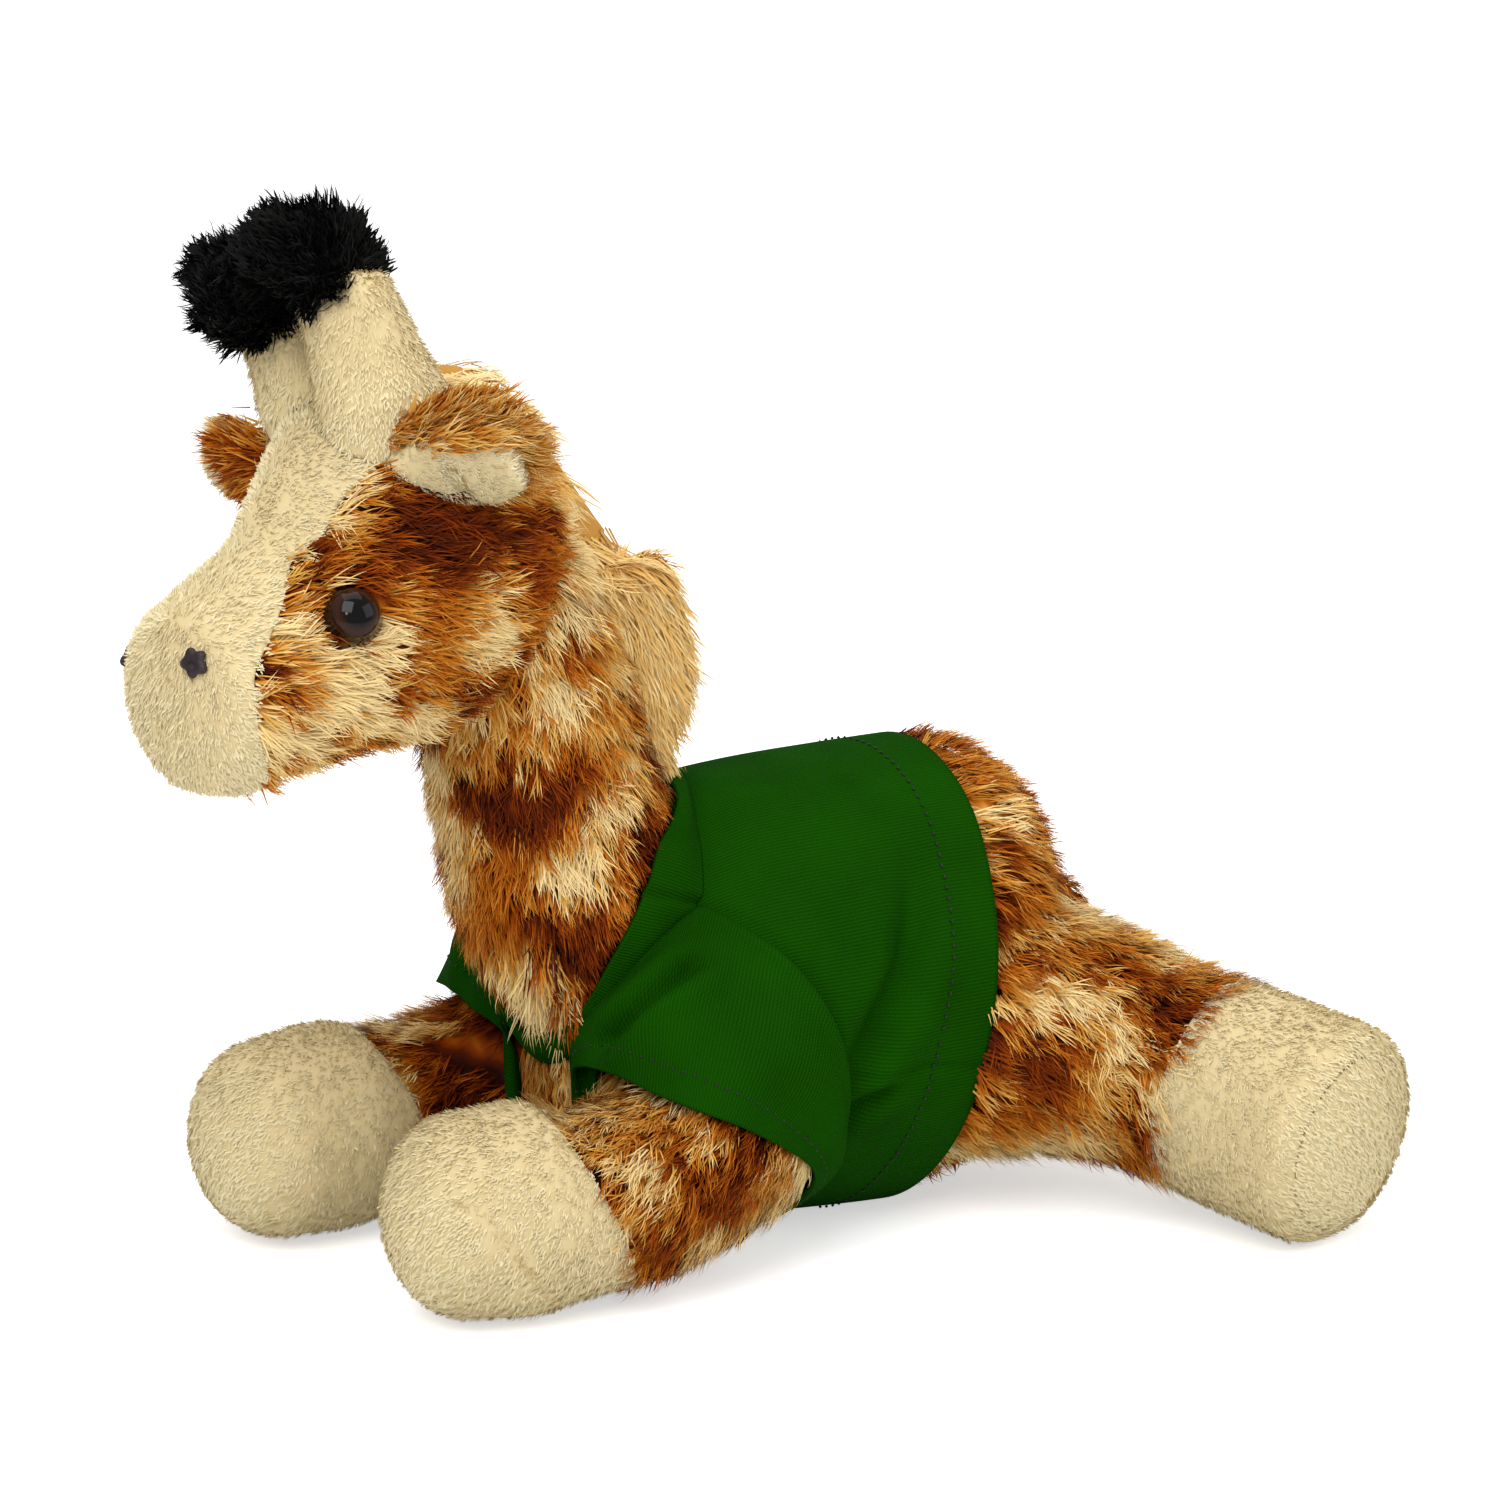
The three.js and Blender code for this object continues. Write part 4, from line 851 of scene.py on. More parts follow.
# Tie-dyed blotches of the fur: (place, radius, tone), from 0, cream, to 1, dark brown
BLOTCHES = {
    "head": [
        ((-94.6, -24, 128.8), 7.5, 1), ((-98.1, -20.8, 133.8), 4, 0.95), ((-88.6, -25.8, 124.9), 4, 0.95),
        ((-106.8, -23.7, 121.9), 3, 0.9), ((-111.5, -19.3, 125.2), 2.5, 0.9),
        ((-108.5, -26.9, 114.8), 3, 0.85),
        ((-123.4, -27.8, 110.5), 2.2, 0.95), ((-119.6, -29.3, 110), 4, 0.6), ((-98.6, -26.7, 106.1), 4, 0.75),
        ((-82, -25, 100), 5, 0.8), ((-110.6, -26.4, 99), 3, 0.75), ((-103.2, -20.8, 95.8), 3, 0.6),
        ((-120.4, -26.3, 95.3), 3, 0.65), ((-71.6, -20.8, 114.5), 5.5, 0.65), ((-78.7, -22, 129.9), 2.5, 0.9),
        ((-65.6, -16.2, 120.2), 3, 0.6), ((-91.8, -27.3, 114.1), 4.5, 0.55), ((-93.9, -26.5, 121.7), 3, 0.8),
        ((-83.5, -26, 117.9), 3.2, 0), ((-80.3, -23.9, 110.6), 3.2, 0), ((-109.3, -28.2, 110), 3.2, 0),
        ((-112.4, -29.1, 106.1), 3.2, 0), ((-104.3, -27.8, 112), 3.2, 0), ((-93.2, -22.1, 98.8), 3.2, 0),
        ((-86.1, -25.8, 108.5), 3.2, 0), ((-115.8, -25.9, 115.5), 3, 0.05), ((-122.7, -29, 102.7), 3, 0.05),
        ((-117.5, -28.7, 99.5), 3, 0.05), ((-102.2, -26.5, 118.7), 3, 0.1),
        ((-111.6, -19.8, 124), 3.5, 0.95), ((-114.5, -23, 119.3), 2.8, 0.9),
        ((-112.7, -25.8, 115.7), 2.6, 0.85),
        ((-99.6, -27.2, 107.3), 3.6, 0.75), ((-71.1, -21.1, 117.2), 5, 0.72), ((-74.7, -23, 122.7), 4, 0.75),
    ],
    "neck": [
        ((-74.3, -13, 82.6), 6, 1), ((-69.7, -16.3, 81.9), 6, 1), ((-57.5, -17.9, 88.5), 3.5, 0.55),
        ((-54.5, -18.6, 75.8), 2.5, 0.8), ((-53.9, -19.4, 69.9), 2.5, 0.8), ((-63.5, -18.1, 61.4), 5.5, 0.85),
        ((-59.5, -19.1, 56), 4, 0.8), ((-75.6, -8.2, 70.7), 4.5, 0.6), ((-73.1, -10.3, 63.3), 4.5, 0.6),
        ((-74.4, -2.2, 58.1), 4.5, 0.6), ((-64.3, -15.4, 52.4), 3.5, 0.8), ((-68.5, -10.8, 51.2), 4, 0),
        ((-65.1, -10.5, 45.9), 4, 0), ((-61.4, -15.3, 47.6), 3, 0.55), ((-59.1, -18.7, 80.2), 3.5, 0),
        ((-61.2, -19, 72.2), 3.5, 0), ((-65.9, -17.5, 69.1), 3.5, 0), ((-70.7, -16.7, 91.3), 3, 0.05),
        ((-66.1, -18.3, 97.7), 3, 0.05), ((-77.5, -5.1, 74.5), 3, 0.05), ((-55, -18, 81.2), 3, 0.05),
        ((-59.9, -17.1, 103.3), 4, 0.55), ((-55.6, -12.6, 110), 4, 0.55), ((-62.9, -17.6, 107), 3, 0.9),
        ((-72, -8.1, 55.8), 3, 0.6), ((-80.7, -1.1, 86.9), 3.5, 0), ((-79.3, -3.3, 80.2), 3, 0.1),
        ((-58, -17.6, 96.1), 4, 0.6), ((-56.3, -17.6, 89.6), 3, 0.6), ((-62.2, -17.9, 103.7), 3, 0.65),
    ],
    "front_leg_left": [
        ((-70, -34, 36), 2.6, 0.9), ((-67.8, -36.6, 32.8), 2.6, 0.5), ((-64.7, -44.5, 27.5), 3.2, 0),
        ((-67.7, -47.3, 17.9), 3.2, 0), ((-63, -47.1, 21.3), 3.5, 0.6), ((-46.3, -45.2, 26.2), 3.5, 0.85),
        ((-51.4, -44.2, 29.4), 3, 0), ((-41.5, -44.6, 21.6), 3.5, 0.55), ((-61.1, -44.8, 9.8), 4, 0.6),
        ((-45.6, -41.3, 10.9), 3, 0.35), ((-56.6, -46.8, 21.8), 2.5, 0.8),
    ],
    "front_leg_right": [
        ((-82.1, 21.7, 32.8), 4.5, 0.7), ((-72.1, 16.1, 30.7), 4, 0.9), ((-67.7, 12.7, 27.9), 3.5, 0.8),
        ((-74, 12, 20), 3.5, 0.8), ((-78.8, 14.9, 30.1), 2.8, 0), ((-78, 12, 24), 2.8, 0),
        ((-68.8, 27.1, 34), 3, 0.55),
    ],
    "torso": [
        ((8, -12, 74), 5, 0.65), ((12, -14, 71), 5, 0.55), ((10, -18, 70), 2.5, 0),
        ((14.4, -19.5, 65.9), 4, 0),
        ((17.7, -23.6, 59), 5, 0.55), ((24, -8, 62), 6, 0.75), ((30, 4, 55), 5, 0.2), ((20, 12, 66), 5, 0.85),
    ],
    "hind_leg_left": [
        ((26.7, -33, 48.2), 4.5, 0.65), ((12.7, -33.8, 47.4), 2.5, 0.95), ((14.6, -38.8, 40.5), 4.5, 0),
        ((12.3, -40.4, 30.7), 6.5, 1), ((7, -38, 36), 3, 0.95), ((20.7, -44.9, 28.9), 4, 0.5),
        ((29.3, -44.4, 40.4), 5, 0.95), ((41.4, -44.7, 42.3), 5, 0.65), ((46, -46, 34), 2.5, 0.9),
        ((42, -50, 26), 3.5, 0.75), ((24.8, -47.7, 17.1), 3.2, 0.95), ((22.9, -40.3, 13.4), 3, 0.55),
        ((18.1, -37.3, 15.3), 3.5, 0.1), ((25.9, -52.1, 25.7), 3.5, 0), ((23.4, -45.2, 34.8), 3.5, 0),
        ((24.8, -41.2, 41.3), 3.5, 0), ((17, -30, 56), 4, 0.6),
    ],
}
BASE_WEIGHT = 0.22
TONE_MIDDLE = 0.45
TONE_GAIN = 1.3
TONE_SHIFT = {"head": 0.06, "neck": 0.03, "torso": -0.1, "hind_leg_left": -0.08, "hind_leg_right": -0.08}


def mirrored(blotches):
    return [((x, -y, z), radius, tone) for (x, y, z), radius, tone in blotches]


BLOTCHES["hind_leg_right"] = mirrored(BLOTCHES["hind_leg_left"])
for both in ("head", "neck"):
    BLOTCHES[both] = BLOTCHES[both] + mirrored(BLOTCHES[both])

WAVES = rng.normal(0, 1, (14, 3)) * 0.22
PHASES = rng.uniform(0, 2 * math.pi, 14)


def fur_tone(points, region, jitter=1.1):
    """How dark the fur is at each root, from the region's blotches over broad waves."""
    moved = points + rng.normal(0, jitter, points.shape)
    wave = np.cos(moved @ WAVES.T + PHASES).sum(1) / math.sqrt(14)
    total = BASE_WEIGHT * np.clip(0.5 + 0.4 * wave, 0, 1)
    weight = np.full(len(points), BASE_WEIGHT)
    for place, radius, tone in BLOTCHES.get(region, []):
        near = np.exp(-1.1 * ((moved - place) ** 2).sum(1) / radius**2)
        total += near * tone
        weight += near
    tone = TONE_MIDDLE + TONE_GAIN * (total / weight - TONE_MIDDLE) + TONE_SHIFT.get(region, 0)
    return np.clip(tone, 0, 1)


def set_tone(made, region=None):
    """Writes the pile's facts on a backing cloth, as deep in the pile, with painted shade: the backing is darker
    than the pile above it.
    """
    points = design_points(made)
    # painted shade of the pile's depths: fur backings 0.18 darker than their pile's tone, other backings a dark
    # 0.25
    tone = fur_tone(points, region, 0.3) + 0.18 if region else np.full(len(points), 0.25)
    return write_facts(made, tone=tone, along=np.zeros(len(points)), chance=np.full(len(points), 0.5))


# Dressing: a piece joins its body and hides the CAD parts it replaces
def dress(made, body, nodes=()):
    if body:
        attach(made, body)
    if nodes:
        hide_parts(*nodes)
    return made


def lay(name, pile, made_of, body):
    dress(strand_object(name, pile, made_of), body)


# Stuffed hides: each form with its hollow and the cuts where it meets its neighbours
SKIN = 1.2
HIDE_INSET = -2.2
PLUSH_INSET = -0.7
PLUSH_LENGTH = 1.25
PLUSH_LIFT = 0.5
PLUSH_WIDTH = 0.3
PLUSH_SEAM_SHORT = 0.7
# how much darker the plush pile is painted along a seam: painted shade in the seam's crease
PLUSH_SEAM_PAINTED_SHADE = 1.1
PLUSH_SEAM_WIDTH = 0.75


def hide(name, form, inset, made_of, cutters, region=None, keep=()):
    made = new_object(name, *form.mesh(inset), made_of)
    for shape in keep:
        carved(made, [shape], "INTERSECT")
    carved(made, [form.mesh(inset - SKIN, 48, 40)] + list(cutters))
    return set_tone(smooth(made), region)


def fur_hide(name, form, body, node, cutters):
    dress(hide(name, form, HIDE_INSET, FUR, cutters, body), body, [node])


def plush_hide(name, form, body, node, cutters, keep):
    dress(hide(name, form, PLUSH_INSET, CREAM, cutters, None, [keep]), body, [node])


def core(name, shape, made_of, cutters, body, node, region=None):
    """A soft piece with no hollow, less its cutters."""
    made = new_object(name, *shape, made_of)
    if cutters:
        carved(made, cutters)
    dress(set_tone(made, region), body, [node])


def fur_pile(form, region, comb, keeps, room_at=None, swell=None):
    """Clumped strands on a form, shorter where there is little room."""
    place_keep = room_at and (lambda place: room_at(place) > 1)
    roots, normals, place = rooted(form, FUR_CLUMPS, HIDE_INSET, keeps, place_keep)
    length = np.minimum(FUR_LENGTH, room_at(place) * 0.6 + 3.4) if room_at else FUR_LENGTH
    if swell:
        roots = roots + normals * swell(roots)[:, None]
    return grow_pile(roots, normals, comb, fur_tone(roots, region), length, FUR_LIFT)


def plush_pile(form, keeps, comb, inset=PLUSH_INSET, density=1.9, tone=0.5, seam=None):
    roots, normals, _ = rooted(form, density, inset, keeps)
    tones = tone(roots) if callable(tone) else np.full(len(roots), tone)
    length = PLUSH_LENGTH
    if seam is not None:
        sunk = beside(roots, thinned(seam), PLUSH_SEAM_WIDTH)
        length = length * (1 - PLUSH_SEAM_SHORT * sunk)
        # painted shade: the pile's tone is darkened along the seam, as the shade in its crease
        tones = tones - PLUSH_SEAM_PAINTED_SHADE * sunk
    return grow_pile(roots, normals, comb, tones, length, PLUSH_LIFT, PLUSH_WIDTH, 2, 0.35, 0.3, 0.35)


LOCK_WIDTH = 0.4
LOCK_SPREAD = 0.9
LOCK_TANGLE = 0.22


def long_pile(
    name, body, made_of, form, inset, density, comb, keeps, length, lift, tone, per_clump=8, gather=0.6,
    tone_shift=None,
):
    """Long locks on a form; the length is a number or a function of the roots, the tone a range."""
    roots, normals, _ = rooted(form, density, inset, keeps)
    if callable(length):
        length = length(roots)
    tones = rng.uniform(*tone, len(roots))
    if tone_shift is not None:
        tones = tones + tone_shift(roots)
    lay(name, grow_pile(
        roots, normals, comb, tones, length, lift, LOCK_WIDTH, per_clump, LOCK_SPREAD, gather, LOCK_TANGLE,
    ), made_of, body)


def outside(shape, margin=0.0):
    solid = Inside(shape)
    return lambda points: solid.depth(points) < margin


def clear_of(legs, margin):
    return [outside(form.mesh(0), margin) for form in legs.values()]


def above_floor(points):
    return points[:, 2] > 1.6


torso_solid = TORSO.mesh(0)
shirt_solid = TORSO.mesh(SHIRT_EASE + SHIRT_CLOTH)
neck_solid = NECK.mesh(0)
head_solid = HEAD.mesh(0)

# Torso: the hide under the shirt, its fur where the rump shows
rump_fur_comb = vec(0.5, 0.0, -0.85)
RUMP_SWELL = 4.6


def rump_swell(points):
    """How far the rump's pile stands up behind the hem, freed of the shirt."""
    behind = past(points, HEM_PLANE)
    return RUMP_SWELL * ease(behind, -1.5, 4) * ease(points[:, 2], 46, 68)


torso_hide = hide("torso_hide", TORSO, HIDE_INSET - 0.9, FUR, [NECK.mesh(-7)], "torso")
spots = design_points(torso_hide)
ways = np.array([v.normal for v in torso_hide.data.vertices])
outward = (ways * (spots - torso_solid[0].mean(0))).sum(1) > 0
moved = spots + ways * (rump_swell(spots) * outward)[:, None]
torso_hide.data.vertices.foreach_set("co", row(moved).astype(np.float32).ravel())
dress(torso_hide, "torso", ["torso_skin"])
torso_pile = fur_pile(
    TORSO, "torso", lambda points: rump_fur_comb + 0.4 * X_AXIS * (points[:, 2:] > 60),
    [above_floor, lambda points: past(points, HEM_PLANE) > -1.2, *clear_of(HIND_LEGS, 2.5)],
    swell=rump_swell,
)


BREAST_CLUMPS = 0.8
BREAST_LENGTH = 5.5


def on_breast(points):
    x, y, z = points.T
    return (x < -53) & (np.abs(y + 6) < 14) & (np.abs(z - 26.5) < 6.5)


roots, normals, _ = rooted(
    TORSO, BREAST_CLUMPS, SHIRT_EASE + SHIRT_CLOTH, [on_breast, *clear_of(FRONT_LEGS, 1.5)],
)
breast_tones = 0.3 + 0.7 * fur_tone(roots, "neck")
breast_pile = grow_pile(roots, normals, vec(-0.6, -0.3, -0.6), breast_tones, BREAST_LENGTH, FUR_LIFT)
lay("torso_fur", joined(torso_pile, breast_pile), FUR, "torso")

# Where the collar's edge lies on the neck: turns about the neck from its back, and shares of its spine
collar_turns = np.radians([90, 130, 155, 170, 187, 212, 235, 270])
collar_shares = np.array([0.4, 0.385, 0.35, 0.28, 0.22, 0.16, 0.11, 0.08])


def collar_share(turn):
    turn = np.mod(turn, 2 * math.pi)
    mirrored_turn = np.mod(math.pi - turn, 2 * math.pi)
    folded = np.where((turn < math.pi / 2) | (turn > 1.5 * math.pi), mirrored_turn, turn)
    return np.interp(folded, collar_turns, collar_shares)


NOD_ANGLES = (-12, 0, 12)


def nod_paths(shape):
    """Where a shape comes to lie as the head nods, and as it lies at rest."""
    return [turned(shape, PIVOT["head_nod"], (0, 1, 0), angle) for angle in NOD_ANGLES]


# Neck
neck_hide = hide(
    "neck_hide", NECK, HIDE_INSET, FUR,
    parent_paths(torso_solid, "neck_bend") + nod_paths(head_solid), "neck",
)
neck_pile = fur_pile(
    NECK, "neck", vec(0.25, 0.0, -1.0),
    [outside(head_solid, 1.5), outside(shirt_solid, 0.5)],
    room_at=lambda place: (
        (place[:, 0] - collar_share(place[:, 1])) * NECK_RISE - 3.0 * bell(np.degrees(place[:, 1]) - 292, 26)
    ),
)


BIB_LENGTH = 10.5
BIB_TANGLE = 0.25


def on_bib(place):
    room = place[:, 0] - collar_share(place[:, 1])
    return (np.abs(np.degrees(place[:, 1]) - 235) < 16) & (room > 0.01) & (room < 0.14)


roots, normals, _ = rooted(NECK, FUR_CLUMPS, HIDE_INSET, [], on_bib)
bib_pile = grow_pile(
    roots, normals, vec(-0.2, -0.12, -1.0), fur_tone(roots, "neck"), BIB_LENGTH, FUR_LIFT, tangle=BIB_TANGLE,
)
neck_fur = strand_object("neck_fur", joined(neck_pile, bib_pile), FUR)
dress(neck_hide, None, ["neck_skin"])
dress(neck_fur, None)
for made in (neck_hide, neck_fur):
    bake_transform(made)


# Head: fur behind the seam, cream plush ahead of it
def face_prism(shift):
    """The space ahead of the face panel's seam, as a closed prism across the head."""
    line = curve_points(SEAM[1:], np.linspace(0, 1, 60))
    line = np.vstack([[(SEAM[0, 0], 46)], [SEAM[0]], line, [(62, line[-1, 1])], [(62, 46)]])
    line[:-2, 0] += -shift
    count = len(line)
    points = np.array([in_head(f, r, u) for r in (-46, 46) for f, u in line])
    faces = [tuple(range(count)), tuple(reversed(range(count, 2 * count)))]
    faces += [((i + 1) % count, i, count + i, count + (i + 1) % count) for i in range(count)]
    return points, faces


fur_hide("head_hide", HEAD, "head", "head_skin", [face_prism(0.3), NECK.mesh(-7)])


def head_comb(points):
    local = head_coordinates(points)
    up = np.clip(local[:, 2:] / HEAD_HALF_HEIGHT, -1, 1)
    down = 0.2 + 0.55 * np.maximum(up, 0) - 0.25 * np.minimum(up, 0)
    return head_way(-1, 0, 0) + down * head_way(0, 0, -1)


EYE_FORWARD = 19.9
EYE_UP = -5.2
EYE_CLEAR = 4.5


def clear_of_eyes(points):
    local = head_coordinates(points)
    return np.hypot(local[:, 0] - EYE_FORWARD, local[:, 2] - EYE_UP) > EYE_CLEAR


head_pile = fur_pile(
    HEAD, "head", head_comb,
    [lambda points: ahead_of_seam(points) < 0.3, clear_of_eyes, outside(neck_solid, 2.5)],
)
lay("head_fur", head_pile, FUR, "head")
plush_hide("face_plush", HEAD, "head", "face_panel", [], face_prism(0))
face_pile = plush_pile(HEAD, [lambda points: ahead_of_seam(points) > 0], head_way(-0.8, 0, -0.5))
lay("face_pile", face_pile, CREAM, "head")

# Horns
HORNS = {"left": (23.6, -10.0, 11.6), "right": (29.0, 8.2, 9.8)}
STEM_LENGTH = {"left": 23.6, "right": 20.5}
HORN_SUNK = 2.5
HORN_TOP_RADIUS = 8.3
HORN_FLARE = 2.2
HORN_FLARE_REACH = 5.0
HORN_ROOT_FROM = -1.5
HORN_ROOT_TO = 8.0
HORN_ROOT_DEPTH = 1.0
HORN_DOME = 5.0
HORN_BASE_FORWARD = 2.0
HORN_BASE_UP = 20.0
HORN_LEAN = math.radians(14)
TUFT_HALF_WIDTH = {"left": 11.0, "right": 10.5}
TUFT_STEP = {"left": (-1, -5.2, 0.45), "right": (1, 3.6, 0.1)}
TUFT_HALF_LENGTH = 5.0
TUFT_DOME = 6.0
TUFTS = {"left": (7.6, 7.0, 0.6, 4.6, 1.5), "right": (8.6, -3.8, 1.6, 0.6, 0.0)}
TUFT_LOBES = np.array([(0.3, 0.45, 0.1), (-0.15, 0.25, 0.45)])
HORN_TUFT_INSET = -2.2
HORN_TUFT_ROOTS = -1.8
HORN_TUFT_CLUMPS = 1.15
HORN_TUFT_STRAY = 0.25
HORN_TUFT_LENGTH = 3.7
HORN_TUFT_LOBE = 2.2
HORN_TUFT_STRANDS = {"lift": 0.72, "width": 0.5, "per_clump": 8, "spread": 0.9, "gather": 0.6, "tangle": 0.3}
BLACK_TONES = (0.1, 0.5)
horn_rise = np.array([-math.sin(HORN_LEAN), 0, math.cos(HORN_LEAN)])

head_inside = Inside(head_solid)


def horn_root(root):
    """Lays a stem's lower end on the head, so that it rises from the blaze in a hollow curve."""
    def warp(points):
        shape = points.shape
        points = points.reshape(-1, 3)
        along = (points - root) @ horn_rise
        rooted = (1 - ease(along, HORN_ROOT_FROM, HORN_ROOT_TO))[:, None]
        spots, normals = head_inside.nearest(points @ HEAD_PLACE[:3, :3].T + HEAD_PLACE[:3, 3])
        spots = (spots - normals * HORN_ROOT_DEPTH - HEAD_PLACE[:3, 3]) @ HEAD_PLACE[:3, :3]
        out = points - root
        out = unit(out - (out @ horn_rise)[:, None] * horn_rise)
        flare = HORN_FLARE * np.exp(-np.maximum(along, 0) / HORN_FLARE_REACH)
        return (points + out * flare[:, None] * (1 - rooted) + (spots - points) * rooted).reshape(shape)
    return warp


def horn_forms(name):
    length, across, base_radius = HORNS[name]
    half_height, rise, fall, aside, tilt = TUFTS[name]
    root = vec(-HORN_BASE_FORWARD, across, HORN_BASE_UP)
    middle = (base_radius + HORN_TOP_RADIUS) / 2
    tall = STEM_LENGTH[name]
    stem = Form([
        (root + horn_rise * tall * share, radius, radius)
        for share, radius in (
            (-HORN_SUNK / tall, base_radius), (0, base_radius), (0.5, middle), (1, HORN_TOP_RADIUS),
        )
    ], (HORN_DOME, HORN_DOME), place=HEAD_PLACE, warp=horn_root(root))
    top = root + horn_rise * (length + rise) + vec(-fall, aside, 0)

    def stepped(points):
        toward, step, squeeze = TUFT_STEP[name]
        share = ease(toward * (points[..., 1] - top[1]), 2, 8)
        points[..., 2] = top[2] + (points[..., 2] - top[2]) * (1 - squeeze * share) + step * share
        return points

    tuft = Form([
        (top + slide * vec(TUFT_HALF_LENGTH, 0, -tilt), TUFT_HALF_WIDTH[name], half_height)
        for slide in (1, 0, -1)
    ], (TUFT_DOME, TUFT_DOME), place=HEAD_PLACE, warp=stepped)
    return stem, tuft, root + horn_rise * tall


# painted shade: the stem's pile darkens towards its top, against the light from above
def stem_tone(points):
    return 0.5 - 0.22 * ease(head_coordinates(points)[:, 2], 22, 40)


for name, side in SIDES.items():
    stem, tuft, stem_end = horn_forms(name)
    others = [] if name == "left" else [horn_forms("left")[0].mesh(0)]
    core(
        f"horn_plush_{name}", stem.mesh(PLUSH_INSET), CREAM, [HEAD.mesh(PLUSH_INSET + 0.3)] + others,
        "head", f"horn_stem_{name}",
    )
    keeps = [outside(head_solid, 0.3)] + [outside(shape) for shape in others]
    stem_pile = plush_pile(stem, keeps, head_way(0.2, 0, -1.0), tone=stem_tone)
    lay(f"horn_pile_{name}", stem_pile, CREAM, "head")
    core(f"horn_tuft_core_{name}", tuft.mesh(HORN_TUFT_INSET), BLACK, [], "head", f"horn_tuft_{name}")
    roots, normals, _ = rooted(tuft, HORN_TUFT_CLUMPS, HORN_TUFT_ROOTS, [outside(stem.mesh(0), 1.0)])
    stem_top = HEAD_PLACE[:3, :3] @ stem_end + HEAD_PLACE[:3, 3]
    comb = unit(roots - stem_top) + rng.normal(0, HORN_TUFT_STRAY, roots.shape)
    lobes = np.cos(roots @ TUFT_LOBES[0] + side) * np.cos(roots @ TUFT_LOBES[1] - side)
    tones = rng.uniform(*BLACK_TONES, len(roots))
    length = HORN_TUFT_LENGTH + HORN_TUFT_LOBE * lobes
    pile = grow_pile(roots, normals, comb, tones, length, **HORN_TUFT_STRANDS)
    lay(f"horn_tuft_{name}", pile, BLACK, "head")

# Eyes
EYE_RADIUS = 4.05
EYE_SKIRT = 1.3
EYE_SHANK_RADIUS = 1.3
EYE_SHANK_LENGTH = 6.0
EYE_SKIRT_DOWN = 2.9
EYE_DOME = 3.3
EYE_RIM = 0.6
EYE_LIFT = 0.8


def lathe(profile, point, normal, around=48):
    """A turned closed shape whose own +Z lies along the normal."""
    profile = np.asarray(profile, float)
    side = unit(np.cross(normal, [0.21, 0.35, 0.9]))
    other = np.cross(normal, side)
    turn = np.arange(around) * 2 * math.pi / around
    ring = np.cos(turn)[:, None] * side + np.sin(turn)[:, None] * other
    points = point + profile[:, None, :1] * ring[None] + profile[:, None, 1:] * normal
    return closed_tube(points.reshape(-1, 3), len(profile), around)


def seat(aim, way):
    """Where a ray from within the head meets its surface, and the outward normal there."""
    spot, normal, _, _ = head_inside.tree.ray_cast(Vector(aim), Vector(unit(way)))
    normal = np.array(normal)
    return np.array(spot), -normal if normal @ way < 0 else normal


for name, side in SIDES.items():
    spot, normal = seat(in_head(EYE_FORWARD, 0, EYE_UP), head_way(0, side, 0))
    dome = [
        (EYE_RADIUS * math.cos(a), EYE_RIM + (EYE_DOME - EYE_RIM) * math.sin(a))
        for a in np.linspace(0, math.pi / 2 * 0.97, 14)
    ]
    points, faces = lathe([
        (EYE_SHANK_RADIUS, -EYE_SHANK_LENGTH), (EYE_SHANK_RADIUS, -EYE_SKIRT_DOWN - 0.6),
        (EYE_RADIUS + EYE_SKIRT, -EYE_SKIRT_DOWN), (EYE_RADIUS + 0.2, 0), *dome,
    ], spot + normal * EYE_LIFT, normal)
    made = new_object(f"eye_dome_{name}", points, faces, EYE)
    rim = np.linalg.norm(np.cross(points - spot, normal), axis=1) / EYE_RADIUS
    dress(write_facts(made, rim=rim), "head", [f"eye_{name}"])

# Where the sleeves lie
mirror_y = vec(1.0, -1.0, 1.0)
ARMHOLE = np.array([
    (-40.0, -21.0, 7.0), (-50.0, -17.0, 12.0), (-55.8, -15.2, 22.0), (-57.8, -14.8, 31.0),
    (-57.4, -16.4, 38.5), (-55.1, -19.9, 44.6), (-49.8, -21.0, 52.8), (-45.8, -21.1, 58.6),
    (-42.5, -22.1, 61.4), (-37.7, -27.0, 58.8), (-30.9, -32.5, 52.7), (-25.4, -35.5, 42.7),
    (-24.0, -36.0, 33.4), (-25.3, -35.2, 26.0), (-28.6, -32.2, 17.0), (-33.5, -26.5, 9.5),
])
SLEEVE_HEM = np.array([
    (-41.5, -26.0, 6.2), (-50.0, -21.5, 6.8), (-56.8, -17.2, 12.2), (-58.0, -15.2, 19.5),
    (-59.4, -13.8, 27.0), (-61.8, -13.2, 32.8), (-63.4, -19.4, 36.0), (-62.6, -29.0, 37.2),
    (-59.8, -38.1, 35.9), (-54.2, -42.8, 33.4), (-47.1, -45.4, 30.0), (-41.0, -45.4, 26.1),
    (-35.9, -44.0, 22.5), (-31.9, -41.2, 18.4), (-30.8, -37.0, 13.6), (-33.4, -32.6, 9.2),
])
SLEEVE_FOLD = [
    (-46.1, -29.7, 55.1), (-51.7, -30.2, 52.5), (-56.6, -29.4, 49.5), (-60.8, -26.9, 44.2),
    (-62.7, -22.8, 39.1),
]
SLEEVE_RIDGE = vec(1.6, -2.2, -3.6)
SLEEVE_SHARES = (0, 0.3, 0.65, 1)
SLEEVE_BULGE = (2.6, 3.6)


